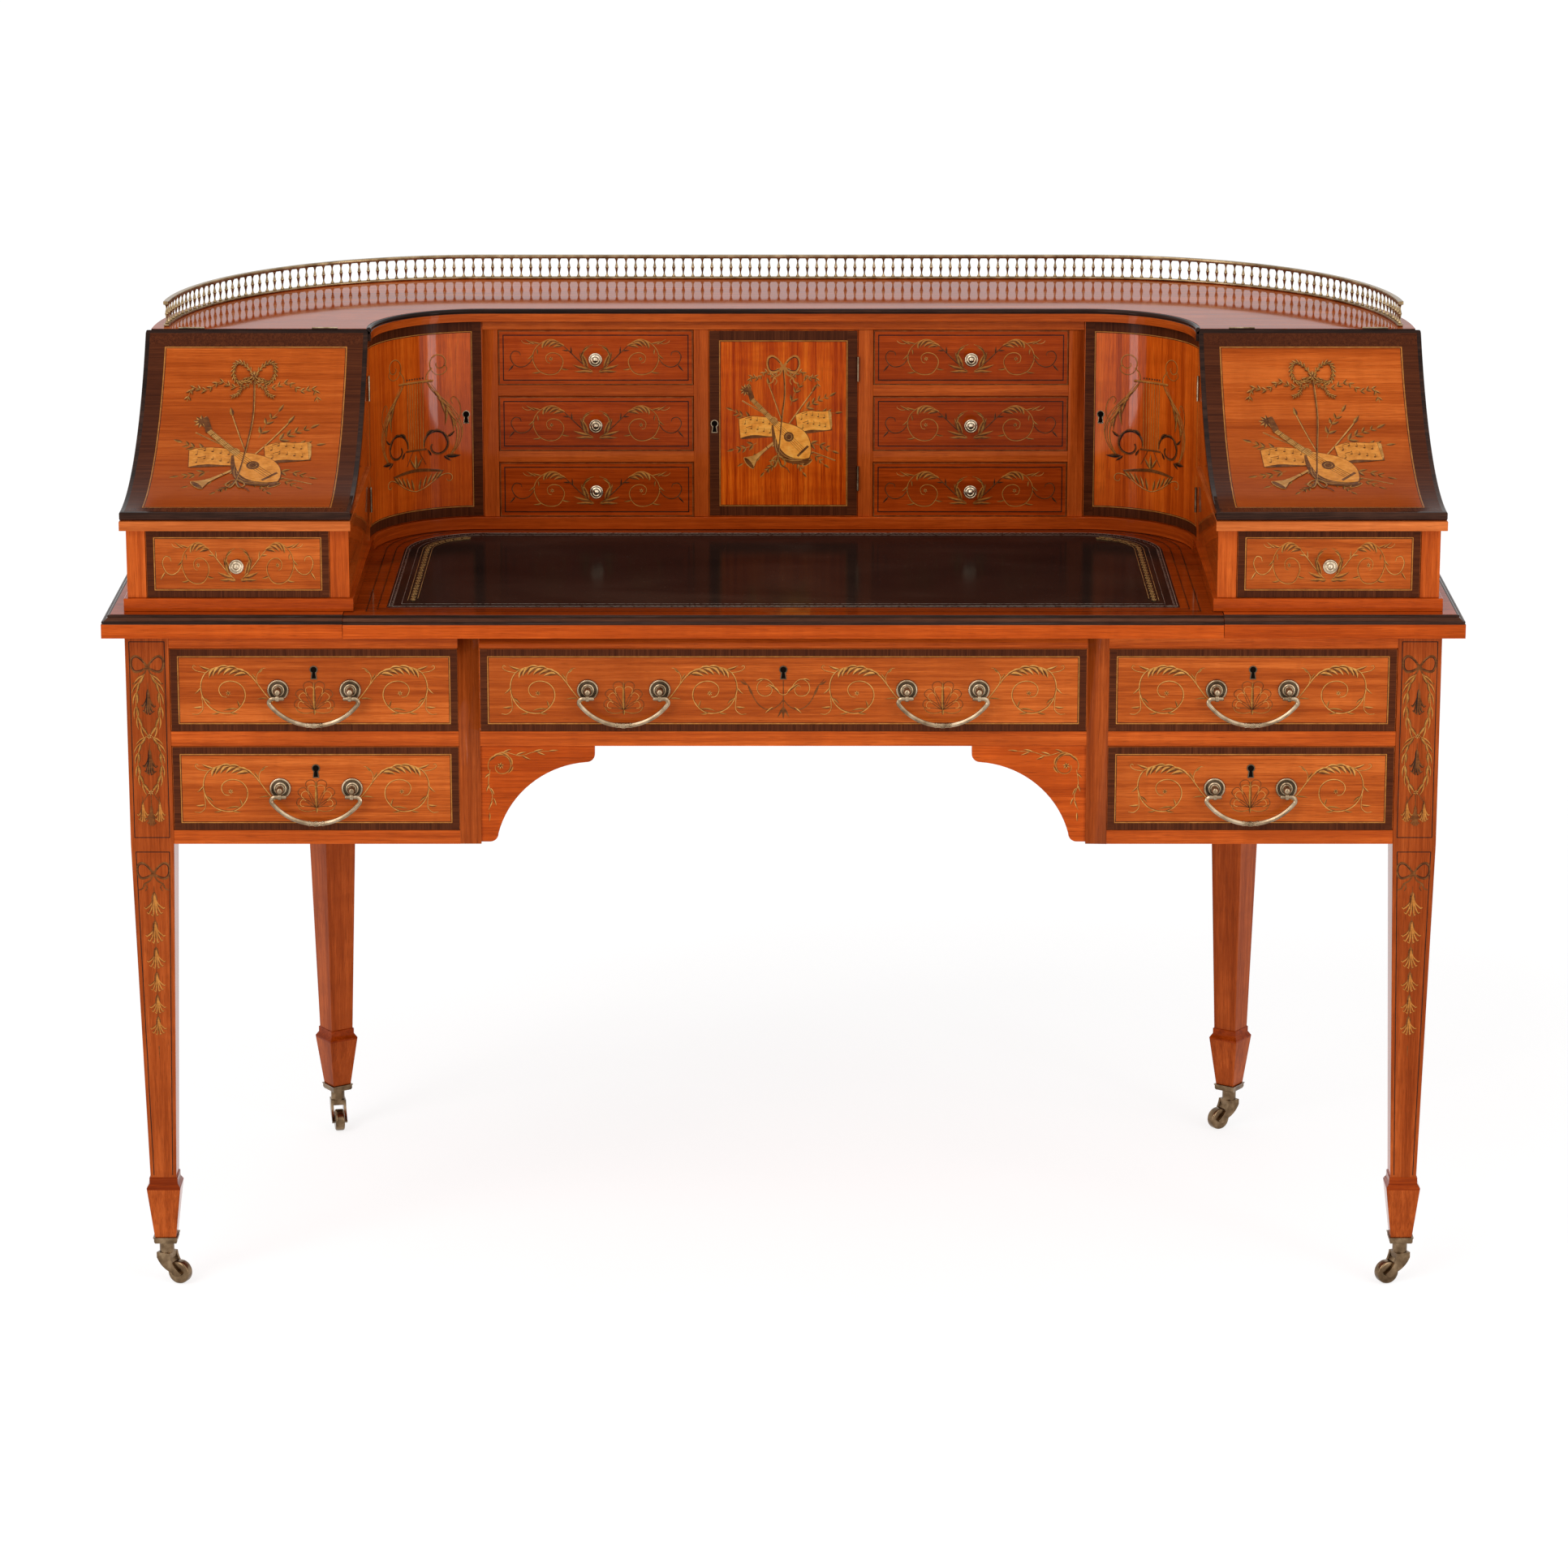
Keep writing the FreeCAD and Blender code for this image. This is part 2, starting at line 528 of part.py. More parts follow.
def desk_top():
    """Two side boards and a back board, bevelled along the outside for the ebonised moulding."""
    half = "Dims.desk_width / 2"
    inner = "(Layout.slide_half + Dims.slide_gap)"
    back = "Dims.desk_depth / 2"
    start = "Layout.slide_back + Dims.slide_gap"
    height = value_of("Dims.desk_height")
    side = padded("desk_top_right", [
        (inner, "Layout.slide_front"), (half, "Layout.slide_front"), (half, "Layout.bend_y"),
        (inner, "Layout.slide_join")], {2: ("Dims.desk_corner", 1)}, "Dims.top_thick",
        lift="Layout.top_under")
    inner_x = value_of(inner)
    bevel_edges(side, "desk_top_right_bevel", "Dims.top_bevel",
                lambda edge: on_level(edge, height) and edge.BoundBox.XMax > inner_x + 1)
    rear = padded("desk_top_back", [
        (inner, start), (inner, "Layout.slide_join"), ("Layout.bend_x", back), ("-Layout.bend_x", back),
        (f"-{inner}", "Layout.slide_join"), (f"-{inner}", start)],
        {1: ("Dims.desk_corner", 1), 3: ("Dims.desk_corner", 1)}, "Dims.top_thick", lift="Layout.top_under")
    join_y = value_of("Layout.slide_join")
    bevel_edges(rear, "desk_top_back_bevel", "Dims.top_bevel",
                lambda edge: on_level(edge, height) and edge.BoundBox.YMin > join_y - 0.01)
    return [side, mirror("desk_top_left", side), rear]


def leather_outline():
    """Leather with square front corners and rounded back corners, from the slide's front edge."""
    half = "Layout.leather_half"
    near = "Layout.leather_near"
    far = "Layout.leather_far"
    bend = "Dims.leather_corner"
    corners = [(f"-{half}", near), (half, near), (half, f"{far} - {bend}"), (f"{half} - {bend}", far),
               (f"{bend} - {half}", far), (f"-{half}", f"{far} - {bend}")]
    return corners, {2: (bend, 1), 4: (bend, 1)}


def writing_slide():
    """Board with a moulded front edge and a shallow recess for the leather."""
    top = "Dims.desk_height - Dims.slide_gap"
    slide = padded("slide_board", [
        ("-Layout.slide_half", "Layout.slide_front"), ("Layout.slide_half", "Layout.slide_front"),
        ("Layout.slide_half", "Layout.slide_back"), ("-Layout.slide_half", "Layout.slide_back")],
        None, "Dims.top_thick - Dims.slide_gap", lift="Layout.top_under")
    height = value_of(top)
    front = value_of("Layout.slide_front")
    bevel_edges(slide, "slide_bevel", "Dims.top_bevel",
                lambda edge: on_level(edge, height) and edge.BoundBox.YMax < front + 0.01)
    recess = slide.newObject("PartDesign::Pocket", "slide_recess")
    recess.Profile = draw(new_sketch(slide, "slide_recess_outline", lift=top), *leather_outline())
    bind(recess, Length="Dims.leather_thick")
    return slide


node("desk_top", *desk_top())
node("writing_slide", writing_slide())
node("writing_leather", padded("leather_skin", *leather_outline(), "Dims.leather_thick",
                               lift="Dims.desk_height - Dims.slide_gap - Dims.leather_thick"))


# Superstructure.

def well_side(edge, back):
    """Corners of the well's edge from right to left, moved into the well by an edge width."""
    inner = f"(Layout.well_half - {edge})"
    rear = f"Layout.well_back - {edge}"
    return [("-" + inner, back), ("-" + inner, "Layout.well_y"), ("-Layout.well_x", rear),
            ("Layout.well_x", rear), (inner, "Layout.well_y"), (inner, back)]


def d_board(name, front, side, radius, edge, thick, lift):
    """A board round the well: D outside, rounded well inside."""
    outside = [(side, front), (side, "Layout.bend_y"), ("Layout.bend_x", f"Layout.bend_y + {radius}"),
               ("-Layout.bend_x", f"Layout.bend_y + {radius}"), (f"-({side})", "Layout.bend_y"),
               (f"-({side})", front)]
    arcs = {1: (radius, 1), 3: (radius, 1)}
    if front == "Layout.bend_y":
        outside = outside[1:-1]
        arcs = {0: (radius, 1), 2: (radius, 1)}
    first = len(outside)
    hollow = f"Dims.well_corner - {edge}"
    arcs.update({first + 1: (hollow, -1), first + 3: (hollow, -1)})
    return padded(name, outside + well_side(edge, front), arcs, thick, lift=lift)


def cove_wall(name, thick):
    """Wall of a lid's compartment, cut to the underside of the lid; its thickness runs along +X."""
    start = "Layout.lid_front + Dims.cove_start"
    corners = [(start, "Layout.lid_low"), ("Layout.bend_y", "Layout.lid_low"),
               ("Layout.bend_y", "Layout.lid_eye - sqrt(Layout.lid_seat ^ 2 - Layout.lid_run ^ 2)"),
               (start, "Layout.lid_eye - sqrt(Layout.lid_seat ^ 2 - Dims.cove_start ^ 2)")]
    return padded(name, corners, {2: ("Layout.lid_seat", -1)}, thick, "YZ_Plane")


def upper_panels():
    """Bent back, side boxes with their ledges, cove walls and the partitions behind the lids."""
    high = ("Layout.plinth_top", "Layout.board_under")
    low = ("Layout.plinth_top", "Layout.ledge_z")
    run = ("Layout.upper_front", "Layout.bend_y")
    wall = "Dims.wall_thick"
    pieces = [box("upper_back_panel", ("-Layout.bend_x", "Layout.bend_x"),
                  (f"Layout.upper_back - {wall}", "Layout.upper_back"), high)]
    right = [
        ring_sector("upper_bend", "Layout.upper_radius", f"Layout.upper_radius - {wall}", high[0],
                    f"{high[1]} - {high[0]}", "Layout.bend_x", "Layout.bend_y", "0", "90"),
        box("side_box_inner", ("Layout.well_half", "Layout.box_in"), run, low),
        box("side_box_outer", ("Layout.box_out", "Layout.upper_side"), run, low),
        box("side_ledge", ("Layout.well_half - Dims.lid_edge", "Layout.upper_side + Dims.ledge_lip"),
            ("Layout.lid_front - Dims.ledge_nose", "Layout.bend_y"), ("Layout.ledge_z", "Layout.lid_low")),
        place(cove_wall("cove_cheek", wall), "Layout.well_half"),
        place(cove_wall("cove_side", wall), f"Layout.upper_side - {wall}"),
        box("lid_partition", ("Layout.well_half", f"Layout.upper_side - {wall} - Dims.reveal"),
            ("Layout.bend_y", f"Layout.bend_y + {wall} - Dims.reveal"), high)]
    for piece in right:
        pieces += [piece, mirror(piece.Name + "_left", piece)]
    return pieces


def upper_dividers():
    """Upright stiles and partitions of the centre, shelves between its drawers and the rail above."""
    depth = ("Layout.well_back", "Layout.partition_back")
    pieces = [box("centre_rail", ("-Layout.well_x", "Layout.well_x"),
                  ("Layout.well_back", "Layout.well_back + Dims.stile_deep"),
                  ("Layout.centre_top", "Layout.board_under"))]
    height = ("Layout.plinth_top", "Layout.centre_top")
    right = [box("outer_partition", ("Layout.bank_out", "Layout.well_x"), depth, height),
             box("inner_partition", ("Layout.door_half", "Layout.bank_in"), depth, height)]
    for row in (1, 2):
        base = f"Layout.plinth_top + {row} * Layout.row_high + {row - 1} * Dims.divider_thick"
        right.append(box(f"drawer_shelf{row}", ("Layout.bank_in", "Layout.bank_out"), depth,
                         (base, f"{base} + Dims.divider_thick")))
    for piece in right:
        pieces += [piece, mirror(piece.Name + "_left", piece)]
    return pieces


def lid():
    """Cove lid: a bent board that rises from the ledge to the top board."""
    end = "Layout.bend_y - Dims.lid_gap"
    run = "(Layout.lid_run - Dims.lid_gap)"
    corners = [("Layout.lid_front", "Layout.lid_low + Dims.lid_thick"),
               (end, f"Layout.lid_eye - sqrt(Layout.lid_radius ^ 2 - {run} ^ 2)"),
               (end, f"Layout.lid_eye - sqrt(Layout.lid_inner ^ 2 - {run} ^ 2)"),
               ("Layout.lid_front", "Layout.lid_low + Dims.lid_gap")]
    arcs = {0: ("Layout.lid_radius", 1), 2: ("Layout.lid_inner", -1)}
    width = "Layout.upper_side + Dims.ledge_lip - Layout.well_half + Dims.lid_edge"
    return place(padded("lid_board", corners, arcs, width, "YZ_Plane"), "Layout.well_half - Dims.lid_edge")


def curved_door():
    """Door bent to the corner of the well; its closing edge is bevelled to clear the stile as it swings."""
    play = "Dims.reveal / Dims.well_corner * 1 rad"
    low = "Layout.plinth_top + Dims.reveal"
    high = "Layout.board_under - Layout.plinth_top - 2 * Dims.reveal"
    bent = ring_sector("well_door_bent", "Dims.well_corner + Dims.door_thick", "Dims.well_corner", low, high,
                       "Layout.well_x", "Layout.well_y", play, f"90 deg - 2 * {play}")
    rear = "Layout.well_back + Dims.door_thick"
    waste = padded("well_door_waste", [("Layout.well_x", "Layout.well_back"),
                                       ("Layout.well_x + Dims.door_bevel", rear), ("Layout.well_x", rear)],
                   {}, high, lift=low)
    return cut("well_door", bent, waste)


def centre_door():
    """Flat door; the rear arris of its closing edge is eased to clear the stile as it swings."""
    edge = "Layout.door_half - Dims.reveal"
    level = ("Layout.plinth_top + Dims.reveal", "Layout.centre_top - Dims.reveal")
    rear = "Layout.well_back + Dims.door_thick"
    board = box("centre_door_board", (f"-({edge})", edge), ("Layout.well_back", rear), level)
    waste = padded("centre_door_waste", [(f"-({edge})", "Layout.well_back + Dims.reveal"),
                                         (f"Dims.door_ease - ({edge})", rear), (f"-({edge})", rear)],
                   {}, f"{level[1]} - ({level[0]})", lift=level[0])
    return cut("centre_door", board, waste)


def plinth_boards():
    """A D-shaped plinth sawn into side boards, a straight back board and bent corner boards."""
    edge = "Dims.plinth_edge"
    near = f"Layout.upper_front - {edge}"
    outer = f"Layout.upper_side + {edge}"
    radius = f"(Layout.upper_radius + {edge})"
    rear = f"Layout.bend_y + {radius}"
    level = ("Dims.desk_height", "Layout.plinth_top")
    whole = d_board("plinth_board", near, outer, radius, edge, "Dims.plinth_thick", "Dims.desk_height")
    cuts = {
        "side": (("0", outer), (near, "Layout.bend_y")),
        "corner": (("Layout.well_x", outer), ("Layout.bend_y", rear)),
        "back": (("-Layout.well_x", "Layout.well_x"), ("Layout.bend_y", rear))}
    boards = {part: common(f"plinth_{part}", whole, box(f"plinth_{part}_saw", x, y, level))
              for part, (x, y) in cuts.items()}
    lefts = [mirror(f"plinth_{part}_left", boards[part]) for part in ("side", "corner")]
    return list(boards.values()) + lefts


node("upper_plinth", *plinth_boards())
node("upper_panels", *upper_panels())
node("upper_dividers", *upper_dividers())
top_board = d_board("top_board", "Layout.bend_y", "Layout.upper_side", "Layout.upper_radius",
                    "Dims.board_nose", "Dims.board_thick", "Layout.board_under")


def is_well_edge(edge):
    """True for the upper edges of the top board that face the well."""
    bounds = edge.BoundBox
    starts_behind = abs(bounds.YMin - value_of("Layout.bend_y")) > 0.01
    ends_before = bounds.YMax < value_of("Layout.well_back")
    return starts_behind and ends_before and on_level(edge, value_of("Layout.board_top"))


bevel_edges(top_board, "top_board_bevel", "Dims.board_bevel", is_well_edge)
node("upper_top", top_board)
right_lid = lid()
node("lid_right", right_lid)
node("lid_left", mirror("lid_board_left", right_lid))
right_door = curved_door()
node("door_right", right_door)
node("door_left", mirror("well_door_left", right_door))
node("door_centre", centre_door())


# Brass gallery on the top board.

GALLERY_START = "2 deg"
BALUSTER_MARGIN = "1 deg"


def gallery_rail(name, low, high, width):
    """One rail: a straight back run and a bent end on each side."""
    half = f"({width}) / 2"
    back = "Layout.bend_y + Layout.gallery_radius"
    run = box(name + "_run", ("-Layout.bend_x", "Layout.bend_x"), (f"{back} - {half}", f"{back} + {half}"),
              (low, high))
    bend = ring_sector(name + "_bend", f"Layout.gallery_radius + {half}", f"Layout.gallery_radius - {half}",
                       low, f"({high}) - ({low})", "Layout.bend_x", "Layout.bend_y", GALLERY_START,
                       f"90 deg - {GALLERY_START}")
    return [run, bend, mirror(name + "_bend_left", bend)]


RAIL_LOW = "Layout.board_top + Dims.gallery_high - Dims.gallery_rail_high"
node("gallery_rails",
     *gallery_rail("foot_rail", "Layout.board_top", "Layout.board_top + Dims.gallery_foot_high",
                   "Dims.gallery_rail_wide"),
     *gallery_rail("top_rail", RAIL_LOW, "Layout.board_top + Dims.gallery_high", "Dims.gallery_rail_wide"))

BALUSTER_LEVELS = [
    ("Layout.board_top + Dims.gallery_foot_high", "Dims.baluster_end"),
    ("Layout.board_top + Dims.gallery_high / 2", "Dims.baluster_belly"),
    (RAIL_LOW, "Dims.baluster_end"),
]


def repeated(body, kind, name, length, count, **guide):
    """Repeat all features of a body along a line or round an axis."""
    originals = [item for item in body.Group if item.isDerivedFrom("PartDesign::FeaturePrimitive")]
    pattern = body.newObject(f"PartDesign::{kind}", name)
    pattern.Originals = originals
    for way, axis in guide.items():
        setattr(pattern, way, (plane_of(body, axis), [""]))
    bind(pattern, Occurrences=count, **length)
    body.Tip = pattern
    return body


def baluster_run():
    """Balusters along the straight back, from left to right."""
    run = place(post("back_baluster", BALUSTER_LEVELS), "-Layout.bend_x",
                "Layout.bend_y + Layout.gallery_radius")
    return repeated(run, "LinearPattern", "back_baluster_row", {"Length": "2 * Layout.bend_x"},
                    "round(2 * Layout.bend_x / Dims.baluster_pitch) + 1", Direction="X_Axis")


def baluster_bend():
    """Balusters round the right-hand bend, short of the straight back's last one."""
    pitch = "(Dims.baluster_pitch / Layout.gallery_radius * 1 rad)"
    sweep = f"(90 deg - {GALLERY_START} - {pitch} - {BALUSTER_MARGIN})"
    bend = post("bend_baluster", BALUSTER_LEVELS, "Layout.gallery_radius")
    repeated(bend, "PolarPattern", "bend_baluster_row", {"Angle": sweep}, f"round({sweep} / {pitch}) + 1",
             Axis="Z_Axis")
    return place(bend, "Layout.bend_x", "Layout.bend_y", turn=f"{GALLERY_START} + {BALUSTER_MARGIN}")


bend_row = baluster_bend()
node("gallery_balusters", baluster_run(), bend_row, mirror("bend_baluster_left", bend_row))


# Drawers with their handles, knobs and locks.

def drawer(name, x, front, z, depth, thick):
    """Front, two sides, back and floor; x and z are the opening, thick names the board sizes."""
    board, side, floor, drop = thick
    left = f"({x[0]}) + Dims.side_play"
    right = f"({x[1]}) - Dims.side_play"
    inside = (f"{left} + {side}", f"{right} - {side}")
    behind = f"{front} + {board}"
    end = f"{front} + {depth}"
    wall = (z[0], f"{z[1]} - {drop}")
    bottom = (f"{z[0]} + Dims.floor_lift", f"{z[0]} + Dims.floor_lift + {floor}")
    return node(
        name,
        box(name + "_front", (f"({x[0]}) + Dims.reveal", f"({x[1]}) - Dims.reveal"), (front, behind),
            (f"{z[0]} + Dims.reveal", f"{z[1]} - Dims.reveal")),
        box(name + "_left_side", (left, inside[0]), (behind, end), wall),
        box(name + "_right_side", (inside[1], right), (behind, end), wall),
        box(name + "_back", inside, (f"{end} - {side}", end), (bottom[1], wall[1])),
        box(name + "_floor", inside, (behind, end), bottom))


def rosette(name, x, z):
    """Round rosette with the lug that stands out from it and carries one end of a bail."""
    plate = cylinder(name + "_plate", "Dims.rosette_radius", "Dims.rosette_thick", x, "Layout.front", z,
                     axis="Y")
    half = "Dims.lug_wide / 2"
    pivot = "Layout.front - Dims.post_out"
    lug = box(name + "_lug", (f"{x} - {half}", f"{x} + {half}"),
              (f"{pivot} - Dims.lug_size / 2", "Layout.front"),
              (f"{z} - Dims.pivot_drop - Dims.lug_size / 2", f"{z} + Dims.lug_rise"))
    eye = cylinder(name + "_eye", "Dims.bail_wire + Dims.bail_play", "Dims.lug_wide + 2", f"{x} - {half} - 1",
                   pivot, f"{z} - Dims.pivot_drop", axis="X")
    return cut(name, fuse(name + "_whole", [plate, lug]), eye)


def lock(name, x, z, front, inside):
    """Keyhole plate on the face and the lock case behind it."""
    hole = cylinder(name + "_key_eye", "Dims.key_radius", "Dims.key_plate", x, front, z, axis="Y")
    slot = box(name + "_key_slot", (f"{x} - Dims.key_slot / 2", f"{x} + Dims.key_slot / 2"),
               (f"{front} - Dims.key_plate", front), (f"{z} - Dims.key_drop", z))
    case = box(name + "_case", (f"{x} - Dims.lock_wide / 2", f"{x} + Dims.lock_wide / 2"),
               (inside, f"{inside} + Dims.lock_deep"),
               (f"{z} - Dims.lock_high / 2", f"{z} + Dims.lock_high / 2"))
    return [fuse(name + "_plate", [hole, slot]), case]


def bail(name, x, z):
    """Bent wire handle whose ends turn in and pass through the lugs of two rosettes."""
    body = new_body(name + "_wire")
    path = draw(new_sketch(body, name + "_path", "XZ_Plane"), [
        ("-Layout.bail_tip", "0"), ("-Layout.bail_side", "0"), ("-Layout.bail_x", "Layout.bail_z"),
        ("Layout.bail_x", "Layout.bail_z"), ("Layout.bail_side", "0"), ("Layout.bail_tip", "0")],
        {1: ("Dims.bail_bend", 1), 2: ("Layout.bail_arc", 1), 3: ("Dims.bail_bend", 1)}, closed=False)
    section = draw(new_sketch(body, name + "_section", "YZ_Plane", lift="-Layout.bail_tip"),
                   hexagon("Dims.bail_wire"))
    pipe = body.newObject("PartDesign::AdditivePipe", name + "_pipe")
    pipe.Profile = section
    pipe.Spine = (path, [f"Edge{n}" for n in range(1, 6)])
    return node(name, place(body, x, "Layout.front - Dims.post_out", f"{z} - Dims.pivot_drop"))


def knob(name, x, front, z):
    """Turned brass knob: a waisted stem and a bun-shaped head."""
    turned = revolved(name + "_turned", [
        ("0", "0"), ("Dims.knob_foot", "0"), ("Dims.knob_stem", "Dims.knob_out - Dims.knob_head"),
        ("Dims.knob_radius", "Dims.knob_out - Dims.knob_crown"), ("Dims.knob_foot", "Dims.knob_out"),
        ("0", "Dims.knob_out")])
    return node(name, place(turned, x, front, z, tilt=90))


FRIEZE_BOARDS = ("Dims.front_thick", "Dims.drawer_side", "Dims.drawer_floor", "Dims.side_drop")
SMALL_BOARDS = ("Dims.small_front", "Dims.small_side", "Dims.small_floor", "Dims.small_drop")
UPPER_ROW = ("Layout.upper_z", "Layout.upper_z + Dims.upper_drawer_high")
LOWER_ROW = ("Layout.lower_z", "Layout.lower_z + Dims.lower_drawer_high")
LEFT_BAY = ("-Layout.bay_out", "-Layout.bay_in")
RIGHT_BAY = ("Layout.bay_in", "Layout.bay_out")

# name, opening, row, depth and the middles of its handles
FRIEZE_DRAWERS = [
    ("left_upper", LEFT_BAY, UPPER_ROW, "Dims.side_drawer_deep", ["-Layout.bay_mid"]),
    ("left_lower", LEFT_BAY, LOWER_ROW, "Dims.side_drawer_deep", ["-Layout.bay_mid"]),
    ("right_upper", RIGHT_BAY, UPPER_ROW, "Dims.side_drawer_deep", ["Layout.bay_mid"]),
    ("right_lower", RIGHT_BAY, LOWER_ROW, "Dims.side_drawer_deep", ["Layout.bay_mid"]),
    ("centre", ("-Layout.knee", "Layout.knee"), UPPER_ROW, "Dims.centre_drawer_deep",
     ["-Dims.handle_offset", "Dims.handle_offset"]),
]

for name, opening, row, depth, handles in FRIEZE_DRAWERS:
    drawer(f"drawer_{name}", opening, "Layout.front", row, depth, FRIEZE_BOARDS)
    level = f"({row[0]} + {row[1]}) / 2"
    middle = f"({opening[0]} + {opening[1]}) / 2"
    fittings = lock(f"lock_{name}", middle, f"{level} + Dims.key_rise", "Layout.front",
                    "Layout.front + Dims.front_thick")
    for number, handle_x in enumerate(handles, start=1):
        suffix = str(number) if len(handles) > 1 else ""
        for hand, sign in (("a", "-"), ("b", "+")):
            fittings.append(rosette(f"rosette_{name}{suffix}{hand}",
                                    f"({handle_x} {sign} Dims.handle_span / 2)", f"({level})"))
        bail(f"bail_{name}{suffix}", handle_x, f"({level})")
    node(f"fittings_{name}", *fittings)

for hand, sign in (("left", "-"), ("right", "")):
    if hand == "left":
        bank = ("-Layout.bank_out", "-Layout.bank_in")
        side_box = ("-Layout.box_out", "-Layout.box_in")
    else:
        bank = ("Layout.bank_in", "Layout.bank_out")
        side_box = ("Layout.box_in", "Layout.box_out")
    bank_mid = f"{sign}(Layout.bank_in + Layout.bank_out) / 2"
    for row, level in enumerate(("low", "mid", "top")):
        base = f"Layout.plinth_top + {row} * (Layout.row_high + Dims.divider_thick)"
        name = f"small_drawer_{hand}_{level}"
        drawer(name, bank, "Layout.well_back", (base, f"{base} + Layout.row_high"), "Layout.small_deep",
               SMALL_BOARDS)
        knob(f"knob_{hand}_{level}", bank_mid, "Layout.well_back", f"{base} + Layout.row_high / 2")
    drawer(f"box_drawer_{hand}", side_box, "Layout.upper_front", ("Layout.plinth_top", "Layout.ledge_z"),
           "Dims.box_drawer_deep", SMALL_BOARDS)
    knob(f"knob_{hand}_box", f"{sign}Layout.box_mid", "Layout.upper_front",
         "(Layout.plinth_top + Layout.ledge_z) / 2")


# Hinge barrels of the doors and lids, fixed to the case.

def upright_barrels(name, x, y):
    lows = ("Layout.plinth_top + Dims.barrel_end",
            "Layout.centre_top - Dims.barrel_end - Dims.barrel_long")
    return [cylinder(f"{name}{n}", "Dims.barrel_radius", "Dims.barrel_long", x, y, low)
            for n, low in enumerate(lows, start=1)]


corner_barrels = upright_barrels("corner_barrel", "Layout.well_half - Dims.barrel_out",
                                 "Layout.well_y + Dims.reveal / 2")
lid_barrels = [cylinder(f"lid_barrel{n}", "Dims.barrel_radius", "Dims.barrel_long", x,
                        "Layout.bend_y - Dims.lid_gap / 2", "Layout.board_top + Dims.barrel_out", axis="X")
               for n, x in enumerate(("Layout.well_half + Dims.barrel_end",
                                      "Layout.upper_side - Dims.barrel_end - Dims.barrel_long"), start=1)]
paired = corner_barrels + lid_barrels
node("hinges",
     *upright_barrels("centre_barrel", "Layout.door_half - Dims.reveal / 2",
                      "Layout.well_back - Dims.barrel_out"),
     *paired, *[mirror(piece.Name + "_left", piece) for piece in paired])


# Check and write.

doc.recompute()
for item in doc.Objects:
    if any(flag in ("Invalid", "Error") for flag in item.State):
        raise RuntimeError(f"{item.Label} did not build: {item.State}")
for group in nodes:
    if group.Shape.isNull() or not group.Shape.isValid():
        raise RuntimeError(f"{group.Label} has no valid shape")
os.makedirs("parts", exist_ok=True)
for group in nodes:
    group.Shape.exportStep(f"parts/{group.Label}.step")
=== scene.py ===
"""Carlton house desk: veneers, marquetry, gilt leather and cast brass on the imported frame."""
import math

import bpy
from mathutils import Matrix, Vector
from mathutils.geometry import tessellate_polygon


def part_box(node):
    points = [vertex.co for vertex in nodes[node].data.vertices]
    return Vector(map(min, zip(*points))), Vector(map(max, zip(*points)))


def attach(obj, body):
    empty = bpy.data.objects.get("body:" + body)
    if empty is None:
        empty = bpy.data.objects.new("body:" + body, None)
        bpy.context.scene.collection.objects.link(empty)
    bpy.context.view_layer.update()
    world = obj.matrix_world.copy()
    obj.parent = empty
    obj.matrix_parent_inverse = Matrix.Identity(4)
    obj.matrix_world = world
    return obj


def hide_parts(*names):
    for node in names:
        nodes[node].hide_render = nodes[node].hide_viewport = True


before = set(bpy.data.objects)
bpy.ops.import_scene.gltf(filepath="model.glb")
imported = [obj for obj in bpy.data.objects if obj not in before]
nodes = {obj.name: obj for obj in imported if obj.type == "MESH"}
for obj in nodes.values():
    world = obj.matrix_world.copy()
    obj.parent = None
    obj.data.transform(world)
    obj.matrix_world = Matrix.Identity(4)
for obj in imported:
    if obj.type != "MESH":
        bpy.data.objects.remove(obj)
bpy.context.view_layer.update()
MM = 0.001
HANDS = ("left", "right")
SIDES = (("left", -1), ("right", 1))


# Materials. Colours are linear; scales are cycles per metre in the object's own space.

VARNISH = 1.15


class Nodes:
    """A node tree, with short calls for the nodes it needs."""

    def __init__(self, tree):
        self.tree = tree

    def put(self, socket, value):
        if isinstance(value, bpy.types.NodeSocket):
            self.tree.links.new(value, socket)
        else:
            socket.default_value = value

    def add(self, kind, inputs=None, **settings):
        node = self.tree.nodes.new("ShaderNode" + kind)
        for name, value in settings.items():
            setattr(node, name, value)
        for socket, value in (inputs or {}).items():
            self.put(node.inputs[socket], value)
        return node

    def math(self, operation, a, b):
        return self.add("Math", {0: a, 1: b}, operation=operation).outputs[0]

    def span(self, value, low, high, start=0.3, end=0.7):
        """A value between start and end, stretched to run from low to high."""
        return self.add("MapRange", {"Value": value, "From Min": start, "From Max": end,
                                     "To Min": low, "To Max": high}).outputs["Result"]


